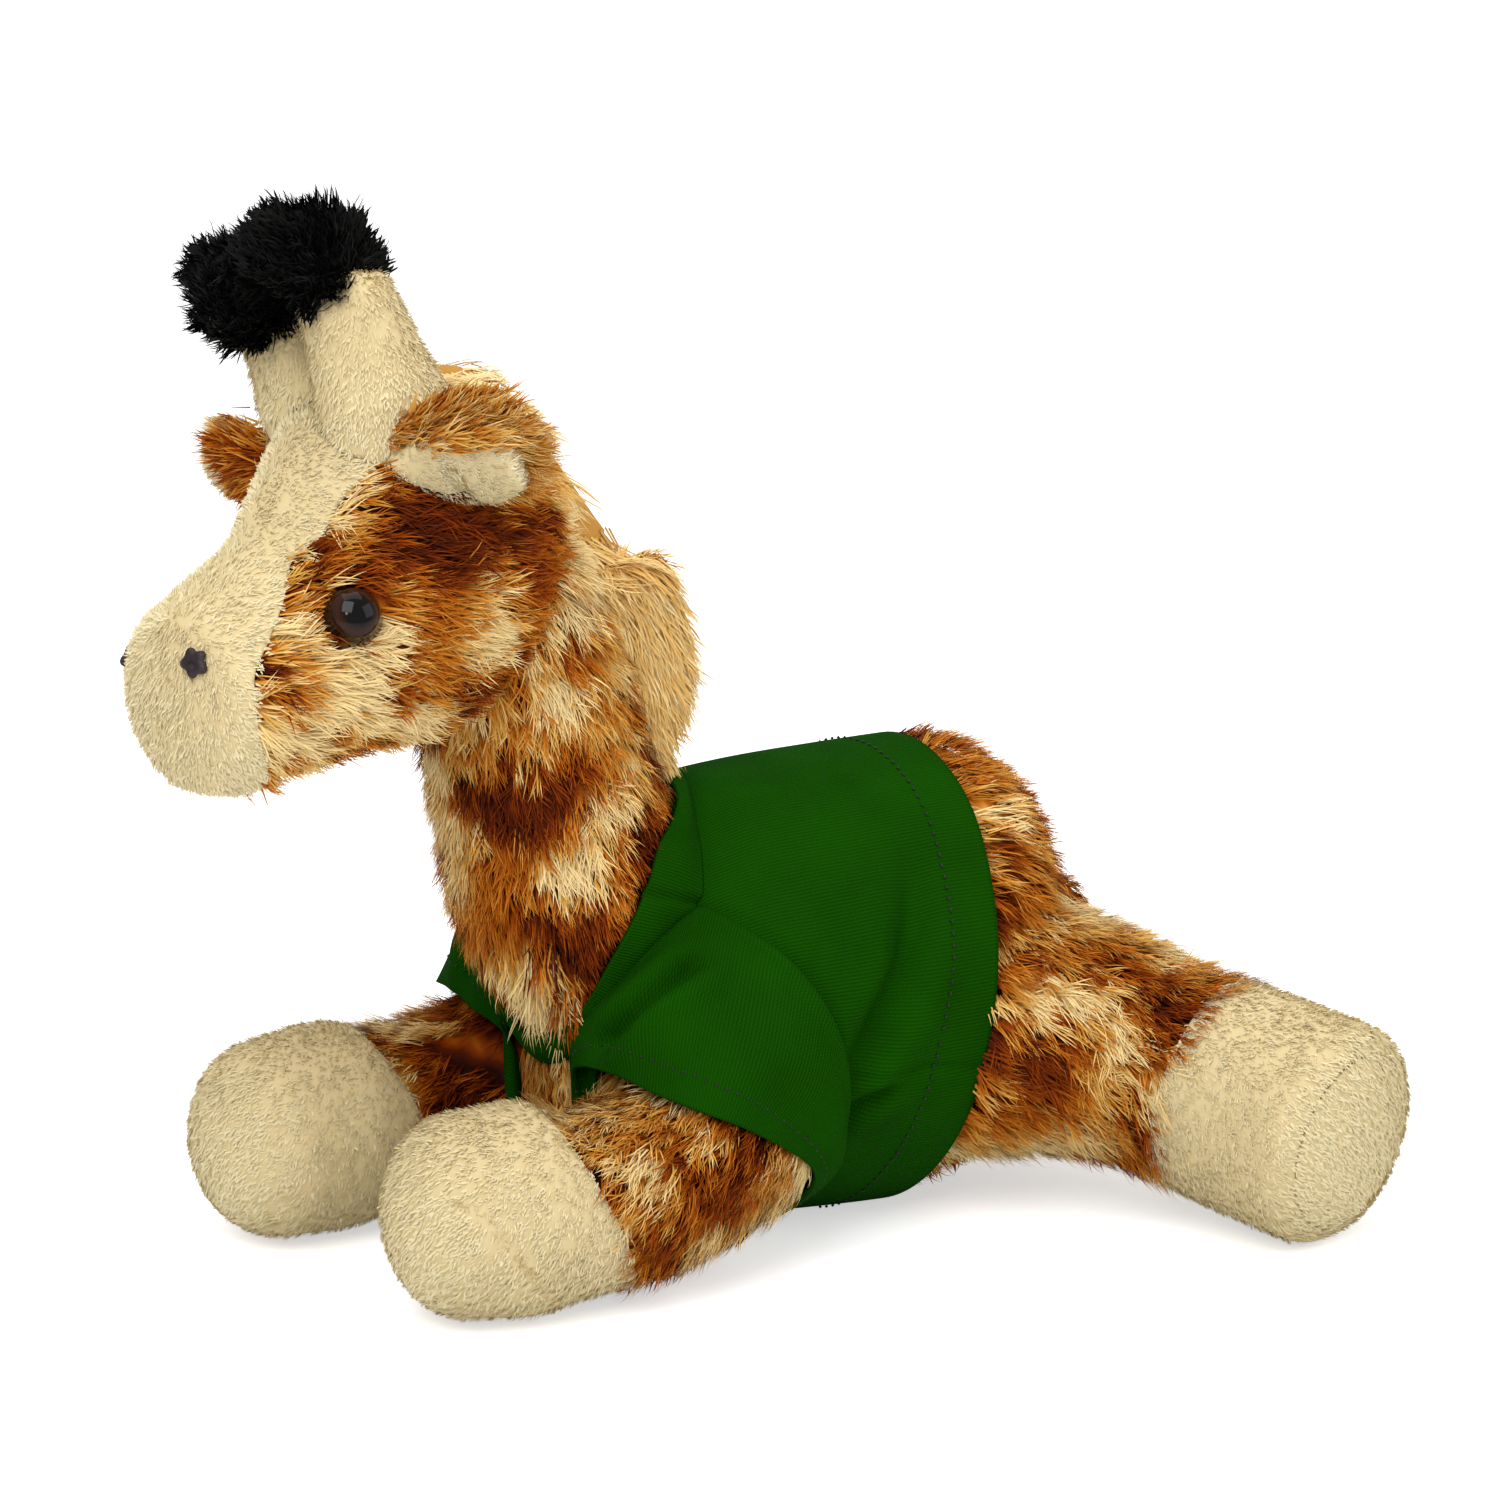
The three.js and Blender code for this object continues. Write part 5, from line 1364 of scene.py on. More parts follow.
def sleeve_loops(name):
    """The armhole and hem of a sleeve, and its fold's line."""
    armhole, hem, crease = ARMHOLE.copy(), SLEEVE_HEM.copy(), np.array(SLEEVE_FOLD)
    if SIDES[name] > 0:
        lean = [math.degrees(math.atan2(FRONT_SPREAD[one], FRONT_REACH[one])) for one in ("left", "right")]
        matrix = turn_about((0, 0, 1), lean[0] - lean[1])
        pivot = np.array(SHOULDER)
        armhole = armhole * mirror_y
        hem = (hem * mirror_y - pivot) @ matrix.T + pivot
        crease = (crease * mirror_y - pivot) @ matrix.T + pivot
    return armhole, hem, crease


def loop_solid(loops):
    """A closed solid through matched loops, its ends capped from their middles."""
    loops = np.asarray(loops, float)
    rows, around = loops.shape[:2]
    points = np.concatenate([loops.reshape(-1, 3), loops[:1].mean(1), loops[-1:].mean(1)])
    faces = []
    for i in range(around):
        after = (i + 1) % around
        for r in range(rows - 1):
            faces.append((r * around + i, r * around + after, (r + 1) * around + after, (r + 1) * around + i))
        last = (rows - 1) * around
        faces += [(rows * around, after, i), (rows * around + 1, last + i, last + after)]
    a, b, c = (points[[face[k] for face in faces]] for k in range(3))
    if (a * np.cross(b, c)).sum() < 0:
        faces = [face[::-1] for face in faces]
    return points, faces


def dense_loop(loop, around):
    ends = np.vstack([loop[-2:], loop, loop[:3]])
    return curve_points(ends, (np.arange(around) / around * len(loop) + 2) / (len(ends) - 1))


def armhole_cutter(name, shrink=1.3, reach=12.0):
    """A prism along the armhole's own way, a little within its edge."""
    loop = dense_loop(sleeve_loops(name)[0], 96)
    centre = loop.mean(0)
    way = unit(np.cross(loop - centre, np.roll(loop, -1, axis=0) - centre).sum(0))
    flat = (loop - centre) - ((loop - centre) @ way)[:, None] * way
    loop = loop - unit(flat) * shrink
    return loop_solid([loop - way * reach, loop + way * reach])


def sleeve_space(name, short):
    """All that a sleeve covers, up to a little short of its hem."""
    armhole, hem, _ = sleeve_loops(name)
    armhole, hem = dense_loop(armhole, 96), dense_loop(hem, 96)
    middle = (armhole + hem) / 2
    centre = middle.mean(0)
    middle = middle + unit(middle - centre) * SLEEVE_BULGE[1]
    hem = hem - unit(hem - armhole) * short
    root = armhole + (centre - hem.mean(0)) * 1.5
    return loop_solid([root, armhole, middle, hem])


# Legs
HOOF_FUR_BACK = -1.5
LEG_FUR_BACK = -31.5
HOOF_CREASES = {
    "left": [
        (-102.3, -34.0, 28.1), (-98.7, -39.3, 25.7), (-94.2, -42.6, 22.8), (-88.5, -45.2, 15.4),
        (-79.5, -41.6, 4.9),
    ],
    "right": [(-109.0, 8.9, 20.3), (-106.6, 8.7, 12.2), (-102.9, 11.3, 6.5)],
}
SOLE_CREASE = np.array([(52.0, -80.2, 33.1), (44.8, -84.7, 23.2), (39.7, -77.2, 8.8)])
floor = half_space((np.zeros(3), -Z_AXIS))


def make_leg(kind, name, form, plane, parents, comb, keeps, seam, sole=None):
    """A leg's hide and fur, then its hoof, the sole of a hind one, and the hoof's pile."""
    body = f"{kind}_leg_{name}"
    cuts = [shape for parent in parents for shape in parent_paths(parent, f"{body}_swing")]
    fur_hide(f"{body}_hide", form, body, f"{kind}_leg_skin_{name}", cuts + [half_space(plane)])
    pile = fur_pile(form, body, comb, [above_floor] + keeps)
    lay(f"{body}_fur", pile, FUR, body)
    hoof_cuts = [floor] if sole is None else [floor, half_space(sole)]
    hoof = f"{kind}_hoof_{name}"
    plush_hide(f"{kind}_hoof_plush_{name}", form, body, hoof, hoof_cuts, half_space(plane, 0.3))
    if sole is not None:
        plush_hide(f"hind_sole_plush_{name}", form, body, f"hind_sole_{name}", [floor], half_space(sole, 0.3))
    on_hoof = [above_floor, lambda points: past(points, plane) > 0]
    pile = plush_pile(form, on_hoof, plane[1] + vec(0, 0, -0.3), seam=seam)
    lay(f"{kind}_hoof_pile_{name}", pile, CREAM, body)


for name, form in FRONT_LEGS.items():
    plane = front_hoof_planes[name]
    make_leg(
        "front", name, form, plane, [torso_solid, neck_solid],
        unit(form.ends[3] - form.ends[1]) + vec(0, 0, -0.5),
        [
            lambda points: past(points, plane) < HOOF_FUR_BACK,
            outside(shirt_solid, 0.5),
            outside(neck_solid, 0.5),
            outside(sleeve_space(name, 4.5)),
            lambda points: points[:, 0] < LEG_FUR_BACK,
        ], HOOF_CREASES[name],
    )
for name, form in HIND_LEGS.items():
    plane = hind_hoof_planes[name]
    make_leg(
        "hind", name, form, plane, [torso_solid], unit(form.ends[3] - form.ends[0]) + vec(0, 0, -0.6),
        [
            lambda points: past(points, plane) < 0.5,
            outside(torso_solid, 0.5),
            lambda points: past(points, HEM_PLANE) > -0.5,
        ], SOLE_CREASE if name == "left" else SOLE_CREASE * mirror_y, sole_planes[name],
    )


# Shirt: a trunk, a collar and two sleeves, each a double wall of jersey
CLOTH_OUT = SHIRT_EASE + SHIRT_CLOTH
HEM_FLARE = 0.8
FLOOR_CLEAR = 0.15
TRUNK_AROUND = 360
TRUNK_ROWS = 150
TRUNK_START = -0.97
FLARE_FROM = 0.8
FLARE_REACH = 0.2


def fold(points, line, depth, width, ends):
    """A crease along a line with a soft swell beside it, fading towards the line's ends."""
    distance, share = line_distance(points, thinned(line))
    fade = np.clip(np.minimum(share, 1 - share) / ends, 0, 1)
    crease = -depth * bell(distance, width)
    swell = 0.45 * depth * bell(distance - 2.4 * width, 1.5 * width)
    return (crease + swell) * (0.15 + 0.85 * fade)


# The trunk's folds: line, depth, width and how much of each end fades; its grooves: line, depth and width
DEEP_FOLD = [
    (-5, -27, 64), (-7.5, -31, 57), (-11, -34.5, 49), (-15.6, -36, 41.8), (-21, -35.3, 32.5), (-24, -34, 26),
]
SMALL_FOLD = [(-12, -35.5, 29), (-16, -35, 27.6), (-20, -34.2, 25.5), (-25, -32.4, 21)]
SIDE_SEAM = [(-22, -35.2, 31.3), (-13.5, -35.7, 31.4), (-7.8, -35.8, 31.9), (3, -35, 29.8)]
BACK_FOLD = [(-30, -22, 64), (-26, -29, 57), (-24, -33, 50)]
COLLAR_OUT = np.array([
    (-33.0, 0.0, 75.9), (-35.4, -7.0, 74.1), (-37.8, -13.1, 71.1), (-39.7, -17.8, 67.4),
    (-42.4, -22.2, 61.5), (-46.5, -22.0, 56.6), (-50.5, -20.9, 51.0), (-54.9, -19.4, 44.4),
    (-57.7, -15.7, 38.8), (-59.8, -8.0, 33.4), (-60.6, 0.0, 31.0),
])
COLLAR_TURNS = np.radians([90, 118, 140, 155, 170, 187, 202, 218, 235, 252, 270])


def whole_loop(half):
    """A loop from its left half, whose first and last points lie in the middle plane."""
    return np.vstack([half, half[-2:0:-1] * mirror_y])


TRUNK_FOLDS = [(DEEP_FOLD, 3.4, 2.6, 0.35), (SMALL_FOLD, 2.4, 1.6, 0.25), (BACK_FOLD, 0.6, 3.0, 0.25)]
TRUNK_GROOVES = [(SIDE_SEAM, 0.6, 0.75), (dense_loop(ARMHOLE, 64), 0.5, 0.8)]
NECKLINE_GROOVE = (0.5, 0.7)


def trunk_folds(points):
    total = 0.25 * np.cos(points @ vec(0.11, 0.05, 0.09)) * np.cos(points @ vec(-0.04, 0.1, 0.13))
    for flip in (np.ones(3), mirror_y):
        for line, *shape in TRUNK_FOLDS:
            total += fold(points, line * flip, *shape)
        for line, depth, width in TRUNK_GROOVES:
            total -= depth * beside(points, line * flip, width)
    depth, width = NECKLINE_GROOVE
    return total - depth * beside(points, dense_loop(whole_loop(COLLAR_OUT), 96), width)


def hem_place(turn):
    """Where along the torso's spine the slanted hem lies, for each turn about it."""
    table = np.linspace(0, 1, 400)
    places = curve_points(TORSO.ends, table)[:, 0]
    at = np.full(len(turn), HEM_X)
    for _ in range(3):
        v = np.interp(at, places, table)
        height = TORSO.at(v, turn, CLOTH_OUT)[:, 2]
        slope = HEM_PLANE[1][2] / HEM_PLANE[1][0]
        at = HEM_X - (height - torso_middle_z) * slope
    return np.interp(at, places, table)


def tube_faces(rows, around):
    """Faces of a grid of rings that closes on itself both ways."""
    index = np.arange(rows * around).reshape(rows, around)
    below = np.roll(index, -1, axis=0)
    quads = np.stack([index, below, np.roll(below, -1, axis=1), np.roll(index, -1, axis=1)], -1)
    return [tuple(q) for q in quads.reshape(-1, 4).tolist()]


def make_trunk():
    turn = np.arange(TRUNK_AROUND) * 2 * math.pi / TRUNK_AROUND
    hem = hem_place(turn)
    share = np.linspace(0, 1, TRUNK_ROWS)[:, None]
    v = TRUNK_START + (hem[None, :] - TRUNK_START) * share
    flare = HEM_FLARE * np.clip((share - FLARE_FROM) / FLARE_REACH, 0, 1) ** 2
    walls = []
    for grow in (CLOTH_OUT, SHIRT_EASE):
        surface = TORSO.at(v, turn[None, :], CLOTH_OUT)
        lift = trunk_folds(surface.reshape(-1, 3)).reshape(v.shape)
        wall = TORSO.at(v, turn[None, :], grow + lift + flare)
        wall[..., 2] = np.maximum(wall[..., 2], FLOOR_CLEAR + CLOTH_OUT - grow)
        walls.append(wall)
    points = np.concatenate([walls[0], walls[1][::-1]]).reshape(-1, 3)
    made = new_object("shirt_body", *closed_tube(points, 2 * TRUNK_ROWS, TRUNK_AROUND), JERSEY)
    carved(made, [NECK.mesh(-1.5)] + [armhole_cutter(name) for name in SIDES])
    points = design_points(made)
    around = np.arctan2(points[:, 1], points[:, 2] - torso_middle_z) * TORSO_HALF_WIDTH
    return write_facts(made, wale=around, course=points[:, 0])


def cloth_ring(name, loops, shares, thickness, rows, around, folds):
    """A double wall of jersey through closed loops of points, from a first edge to a last one."""
    rings = np.array([dense_loop(loop, around) for loop in loops])
    table = np.linspace(0, 1, rows)
    outer = np.empty((rows, around, 3))
    knots = np.interp(table, shares, np.linspace(0, 1, len(shares)))
    for i in range(around):
        outer[:, i] = curve_points(rings[:, i], knots)
    lengthways = np.gradient(outer, axis=0)
    sideways = np.roll(outer, -1, axis=1) - np.roll(outer, 1, axis=1)
    normals = unit(np.cross(lengthways, sideways))
    middle = outer.reshape(-1, 3).mean(0)
    if ((outer - middle) * normals).sum() < 0:
        normals = -normals
    outer = outer + normals * folds(outer.reshape(-1, 3)).reshape(rows, around, 1)
    outer[..., 2] = np.maximum(outer[..., 2], FLOOR_CLEAR)
    inner = outer - normals * thickness
    inner[..., 2] = np.maximum(inner[..., 2], FLOOR_CLEAR + 0.3)
    points = np.concatenate([outer, inner[::-1]]).reshape(-1, 3)
    made = new_object(name, points, tube_faces(2 * rows, around), JERSEY)
    step = np.linalg.norm(np.roll(outer, -1, axis=1) - outer, axis=-1).sum(1).mean() / around
    wale = np.broadcast_to(np.arange(around) * step, (2 * rows, around)).ravel()
    length = np.linalg.norm(np.diff(outer, axis=0), axis=-1).sum(0).mean()
    there_and_back = np.concatenate([table, table[::-1]])[:, None]
    course = np.broadcast_to(there_and_back * length, (2 * rows, around)).ravel()
    return write_facts(made, wale=wale, course=course), outer, normals


# Depth, width and fading ends of the sleeve's fold; wall thickness, rows and columns of sleeve and collar
SLEEVE_CREASE = (2.8, 1.7, 0.15)
SLEEVE_GRID = (1.0, 70, 220)
COLLAR_GRID = (1.1, 30, 240)
COLLAR_SHARES = (0, 0.5, 1)
COLLAR_CREASE = [(-53.5, -21.5, 64.5), (-48.5, -22.5, 63.2), (-42.5, -22.3, 61.4)]
COLLAR_CREASE_WIDTH = 0.8
COLLAR_GAP = 1.5
COLLAR_BULGE = 0.7
COLLAR_CENTRE = NECK_ROOT + vec(-8, 0, 10)


def make_sleeve(name):
    armhole, hem, crease = sleeve_loops(name)
    centre = (armhole.mean(0) + hem.mean(0)) / 2
    loops = [armhole]
    for share, bulge in zip(SLEEVE_SHARES[1:-1], SLEEVE_BULGE):
        between = armhole + (hem - armhole) * share
        loops.append(between + unit(between - centre) * bulge * ease(between[:, 2:], 5, 22))
    loops.append(hem)

    def folds(points):
        total = fold(points, crease, *SLEEVE_CREASE) + 1.5 * beside(points, crease + SLEEVE_RIDGE, 2.6)
        seam, _ = line_distance(points, dense_loop(armhole, 96))
        total += 0.9 * bell(seam - 2.2, 1.6) - 0.5 * bell(seam, 0.7)
        total += 0.22 * np.cos(points @ vec(0.16, 0.13, -0.1))
        return total

    return cloth_ring(f"shirt_sleeve_{name}", loops, SLEEVE_SHARES, *SLEEVE_GRID, folds)


def make_collar():
    outer_edge = whole_loop(COLLAR_OUT)
    inner_edge = whole_loop(NECK.at(collar_share(COLLAR_TURNS), COLLAR_TURNS, COLLAR_GAP))
    middle = (outer_edge + inner_edge) / 2
    middle = middle + unit(middle - COLLAR_CENTRE) * COLLAR_BULGE

    def folds(points):
        return -beside(points, COLLAR_CREASE, COLLAR_CREASE_WIDTH)

    return cloth_ring("shirt_collar", [outer_edge, middle, inner_edge], COLLAR_SHARES, *COLLAR_GRID, folds)


def stitch_row(name, points, normals, length, width, pitch):
    """Short sunk stitches along a closed line on the cloth."""
    closed = np.vstack([points, points[:1]])
    steps = np.linalg.norm(np.diff(closed, axis=0), axis=1)
    run = np.concatenate([[0], np.cumsum(steps)])
    marks = np.arange(0, run[-1] - pitch / 2, pitch)
    at = np.stack([np.interp(marks, run, closed[:, k]) for k in range(3)], 1)
    ahead = np.stack([np.interp(marks + 0.3, run, closed[:, k]) for k in range(3)], 1)
    nearest = np.searchsorted(run, marks, side="right") - 1
    up = normals[np.clip(nearest, 0, len(normals) - 1)]
    way = unit(ahead - at)
    side = np.cross(up, way)
    parts = [
        at - way * length / 2, at + side * width / 2, at + up * width * 0.5,
        at - side * width / 2, at - up * width * 0.5, at + way * length / 2,
    ]
    corner = np.stack(parts, 1).reshape(-1, 3)
    faces = []
    for i in range(len(marks)):
        first = 6 * i
        for a, b in ((1, 2), (2, 3), (3, 4), (4, 1)):
            faces += [(first, first + a, first + b), (first + 5, first + b, first + a)]
    return new_object(name, corner, faces, JERSEY_THREAD)


# Stitches: (length, width, pitch), and where they run
HEM_STITCH = (1.2, 0.6, 2.0)
STITCH_INSET = 8.0
STITCH_RAISED = 0.55
SEAM_AROUND = 240
SLEEVE_STITCH = (1.1, 0.5, 1.9)
SLEEVE_STITCH_ROW = -10


def sheet_piece(made, body, nodes):
    dress(made, body, nodes)


def seam_line():
    """The line of the hem's stitches round the trunk, with its normals."""
    turn = np.arange(SEAM_AROUND) * 2 * math.pi / SEAM_AROUND
    hem = hem_place(turn) - STITCH_INSET / TORSO_LENGTH
    points = TORSO.at(hem, turn, CLOTH_OUT)
    lift = trunk_folds(points) + STITCH_RAISED
    points = TORSO.at(hem, turn, CLOTH_OUT + lift)
    points[:, 2] = np.maximum(points[:, 2], FLOOR_CLEAR)
    normals = unit(points - np.stack([points[:, 0], 0 * turn, 0 * turn + torso_middle_z], 1))
    return points, normals


trunk = make_trunk()
hem_stitches = stitch_row("shirt_hem_stitches", *seam_line(), *HEM_STITCH)
dress(hem_stitches, "torso")
sheet_piece(trunk, "torso", ["shirt_trunk"])
collar, _, _ = make_collar()
sheet_piece(collar, "torso", ["shirt_neckband"])
for name in SIDES:
    sleeve, outer, normals = make_sleeve(name)
    body = f"front_leg_{name}"
    edge = outer[SLEEVE_STITCH_ROW], normals[SLEEVE_STITCH_ROW]
    seam = stitch_row(f"sleeve_stitches_{name}", *edge, *SLEEVE_STITCH)
    sheet_piece(sleeve, None, [f"sleeve_{name}"])
    for piece in (sleeve, seam):
        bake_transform(piece)

# Mane
MANE_HALF_WIDTH = 5.0
MANE_HALF_DEPTH = 14.0
MANE_DOME = 6.0
MANE_INSET = -2.5
MANE_TONES = (0.35, 0.75)
LOCKS_BELOW = HEAD_PLACE[2, 3] - 2
head_mane_shares = [(-0.1, 0.98, 0.3), (-0.8, 0.8, 0.58), (-1.15, 0.28, 0.84), (-1.34, -0.18, 1.12)]
HEAD_MANE = Form([
    ((-forward * NAPE_REACH, 0, up * HEAD_HALF_HEIGHT), MANE_HALF_WIDTH, MANE_HALF_DEPTH * depth)
    for forward, up, depth in head_mane_shares
], (MANE_DOME, MANE_DOME), place=HEAD_PLACE)
neck_mane_shares = [(1.22, 0.97, 0.93), (1.1, 0.78, 0.93), (1.02, 0.62, 0.6), (1, 0.5, 0.3)]
neck_mane_spine = curve_points(NECK.ends, np.array([up for _, up, _ in neck_mane_shares]))
NECK_MANE = Form([
    (spot + X_AXIS * back * NECK_HALF, MANE_HALF_WIDTH, MANE_HALF_DEPTH * depth)
    for spot, (back, up, depth) in zip(neck_mane_spine, neck_mane_shares)
], (MANE_DOME, MANE_DOME / 2))


stem_solids = [horn_forms(name)[0].mesh(0) for name in SIDES]
core(
    "mane_head_core", HEAD_MANE.mesh(MANE_INSET), MANE,
    [HEAD.mesh(HIDE_INSET)] + stem_solids + nod_paths(neck_solid),
    "head", "mane_head",
)


def head_mane_comb(points):
    local = head_coordinates(points)
    high = np.clip(local[:, 2:] / HEAD_HALF_HEIGHT, 0, 1)
    return head_way(-0.6, 0, -1.0) + high**3 * head_way(-0.8, 0, 0.7)


def crown(points):
    return np.clip(head_coordinates(points)[:, 2] / HEAD_HALF_HEIGHT, 0, 1) ** 2


long_pile(
    "mane_head", "head", MANE, HEAD_MANE, MANE_INSET, 0.9, head_mane_comb,
    [outside(head_solid, 1.0)] + [outside(shape, 1.0) for shape in stem_solids],
    lambda points: 10.0 - 4.0 * crown(points), 0.28, MANE_TONES,
    tone_shift=lambda points: 0.4 * crown(points),
)
long_pile(
    "mane_lock", "head", MANE, HEAD_MANE, MANE_INSET, 0.8, head_mane_comb,
    [outside(head_solid, 1.0), lambda points: points[:, 2] < LOCKS_BELOW], 14.0, 0.22, MANE_TONES,
)
core(
    "mane_neck_core", NECK_MANE.mesh(MANE_INSET), MANE,
    [NECK.mesh(HIDE_INSET + 0.2), TORSO.mesh(CLOTH_OUT + 1)] + nod_paths(HEAD.mesh(0.5)),
    "neck", "mane_neck",
)
neck_mane_top = neck_mane_spine[0][2] + 8.5
long_pile(
    "mane_neck", "neck", MANE, NECK_MANE, MANE_INSET, 0.9, vec(0.3, 0, -1.0),
    [outside(neck_solid, 1.0), outside(shirt_solid, -0.5), lambda points: points[:, 2] < neck_mane_top],
    lambda points: 9.5 - 4.0 * ease(points[:, 2], neck_mane_top - 10, neck_mane_top), 0.25, MANE_TONES,
)

# Ears
EAR_LENGTH = {"left": 23.0, "right": 18.0}
EAR_HALF_WIDTH = {"left": 9.6, "right": 7.0}
EAR_FUR_LENGTH = {"left": 6.5, "right": 4.4}
EAR_BACK = 3.4
EAR_LINING = 4.6
EAR_LINING_LENGTH = {"left": 21.0, "right": 18.4}
EAR_LINING_HALF_WIDTH = 7.2
EAR_LINING_DROP = 1.8
EAR_CREASE_ALONG = 10.5
EAR_ROOT_INSIDE = 4.0
EAR_INSET = -0.9
EAR_SWEEP = {"left": math.radians(28), "right": math.radians(2)}
EAR_TILT = 35
RIM_PALE = {"left": 0.0, "right": 0.6}
FRINGE_LENGTH = 7.0
FRINGE_FROM = {"left": 3.6, "right": -3.4}
FRINGE_TO = {"left": 99.0, "right": 8.0}
FRINGE_TONE = {"left": (0.28, 0.6), "right": (0.5, 0.9)}
ear_shares = [(0, 0.5), (0.35, 0.9), (0.65, 1), (0.9, 0.66)]
lining_shares = [(0.08, 0.45), (0.4, 0.95), (0.7, 1), (0.95, 0.7)]


def make_ear(name, side):
    sweep = EAR_SWEEP[name]
    body = f"ear_{name}"
    pivot = PIVOT[f"{body}_flop"]
    way = np.array([math.sin(sweep), side * math.cos(sweep), 0])
    ahead = np.array([-math.cos(sweep), side * math.sin(sweep), 0])
    tilted = HEAD_PLACE[:3, :3] @ turn_about(way, -side * EAR_TILT)
    leaf_place = carrying(pivot, tilted)
    wide = np.cross(ahead, way) * -side

    def leaf(shares, length, half_width, thickness, shift=0, drop=0.0):
        stations = [
            (way * length * along + ahead * shift - wide * drop, thickness / 2, half_width * width)
            for along, width in shares
        ]
        return Form(stations, (EAR_ROOT_INSIDE, length * (1 - shares[-1][0])), place=leaf_place)

    back = leaf(ear_shares, EAR_LENGTH[name], EAR_HALF_WIDTH[name], EAR_BACK)
    lining = leaf(
        lining_shares, EAR_LINING_LENGTH[name], EAR_LINING_HALF_WIDTH, EAR_LINING,
        EAR_LINING / 2 + 0.4, EAR_LINING_DROP,
    )
    way, ahead = tilted @ way, tilted @ ahead
    wide = np.cross(ahead, way) * -side

    def across(points):
        return (points - pivot) @ wide

    def out_along(points):
        return (points - pivot) @ way

    def fore(points):
        return (points - pivot) @ ahead

    def fringe(points):
        return (across(points) > FRINGE_FROM[name]) & (out_along(points) < FRINGE_TO[name])

    def bare(points):
        return (across(points) < FRINGE_FROM[name] + 1.5) | (out_along(points) > FRINGE_TO[name])

    cuts = parent_paths(HEAD.mesh(0.3), f"{body}_flop")
    core(f"ear_hide_{name}", back.mesh(EAR_INSET), FUR, cuts, body, f"ear_back_{name}", body)
    long_pile(
        f"ear_fur_{name}", body, FUR, back, EAR_INSET, 1.3,
        lambda points: way + 0.07 * across(points)[:, None] * wide,
        [outside(head_solid, 0.5), lambda points: (fore(points) < 0.8) | (across(points) > 6)],
        EAR_FUR_LENGTH[name], 0.25, (0.28, 0.64), 6, 0.5,
        lambda points: -RIM_PALE[name] * np.maximum(
            ease(out_along(points), 9, 13), ease(-across(points), 2, 5)
        ),
    )
    long_pile(
        f"ear_fringe_{name}", body, FUR, lining, 0.1, 1.3,
        lambda points: way + (0.06 * across(points)[:, None] - 0.15) * wide,
        [outside(head_solid, 0.5), fringe, lambda points: fore(points) > 2.0],
        FRINGE_LENGTH, 0.3, FRINGE_TONE[name], 6, 0.5,
    )
    points, faces = lining.mesh(0.4)
    crease = bell(out_along(points) - EAR_CREASE_ALONG, 1.3) * ease(-across(points), -2, 3)
    crease = crease * (fore(points) > 2.6)
    core(
        f"ear_lining_plush_{name}", (points - 1.8 * crease[:, None] * ahead, faces), CREAM,
        cuts + [back.mesh(-0.6)],
        body, f"ear_lining_{name}",
    )
    pile = plush_pile(lining, [outside(back.mesh(0.1)), outside(head_solid), bare], way, 0.2, 2.4, 0.75)
    lay(f"ear_lining_pile_{name}", pile, CREAM, body)


for name, side in SIDES.items():
    make_ear(name, side)

# Nostrils: embroidered rosettes
NOSTRIL_RADIUS = 2.3
NOSTRIL_THICKNESS = 0.9
NOSTRIL_ASIDE = {"left": 9.0, "right": 15.8}
NOSTRIL_SUNK = {"left": 0.0, "right": 0.5}
NOSTRIL_UP = -9.2
NOSTRIL_LOBES = 5

for name, side in SIDES.items():
    spot, normal = seat(in_head(MUZZLE_REACH / 2, side * NOSTRIL_ASIDE[name], NOSTRIL_UP), head_way(1, 0, 0))
    spot = spot - normal * NOSTRIL_SUNK[name]
    profile = [(0.02, -0.4), (0.98, -0.4), (1.0, 0.1), (0.93, 0.5), (0.7, 0.8), (0.4, 0.72), (0.12, 0.45)]
    outline = [(r * NOSTRIL_RADIUS, z * NOSTRIL_THICKNESS) for r, z in profile]
    points, faces = lathe(outline, spot, normal, 120)
    rel = points - spot
    height = rel @ normal
    flat = rel - height[:, None] * normal
    side_way = unit(np.cross(normal, [0.21, 0.35, 0.9]))
    turn = np.arctan2(flat @ np.cross(normal, side_way), flat @ side_way)
    lobes = 1 + 0.14 * np.cos(NOSTRIL_LOBES * turn) + 0.08 * np.cos(2 * turn + 0.7)
    ridge = np.sin(turn * 30)
    points = spot + flat * lobes[:, None] + (height * (1 + 0.12 * ridge))[:, None] * normal
    made = new_object(f"nostril_rosette_{name}", points, faces, NOSTRIL_THREAD)
    # the stitch value paints highlight on the ridges and shade between them, and raises the ridges
    dress(write_facts(made, stitch=0.5 + 0.4 * ridge), "head", [f"nostril_{name}"])

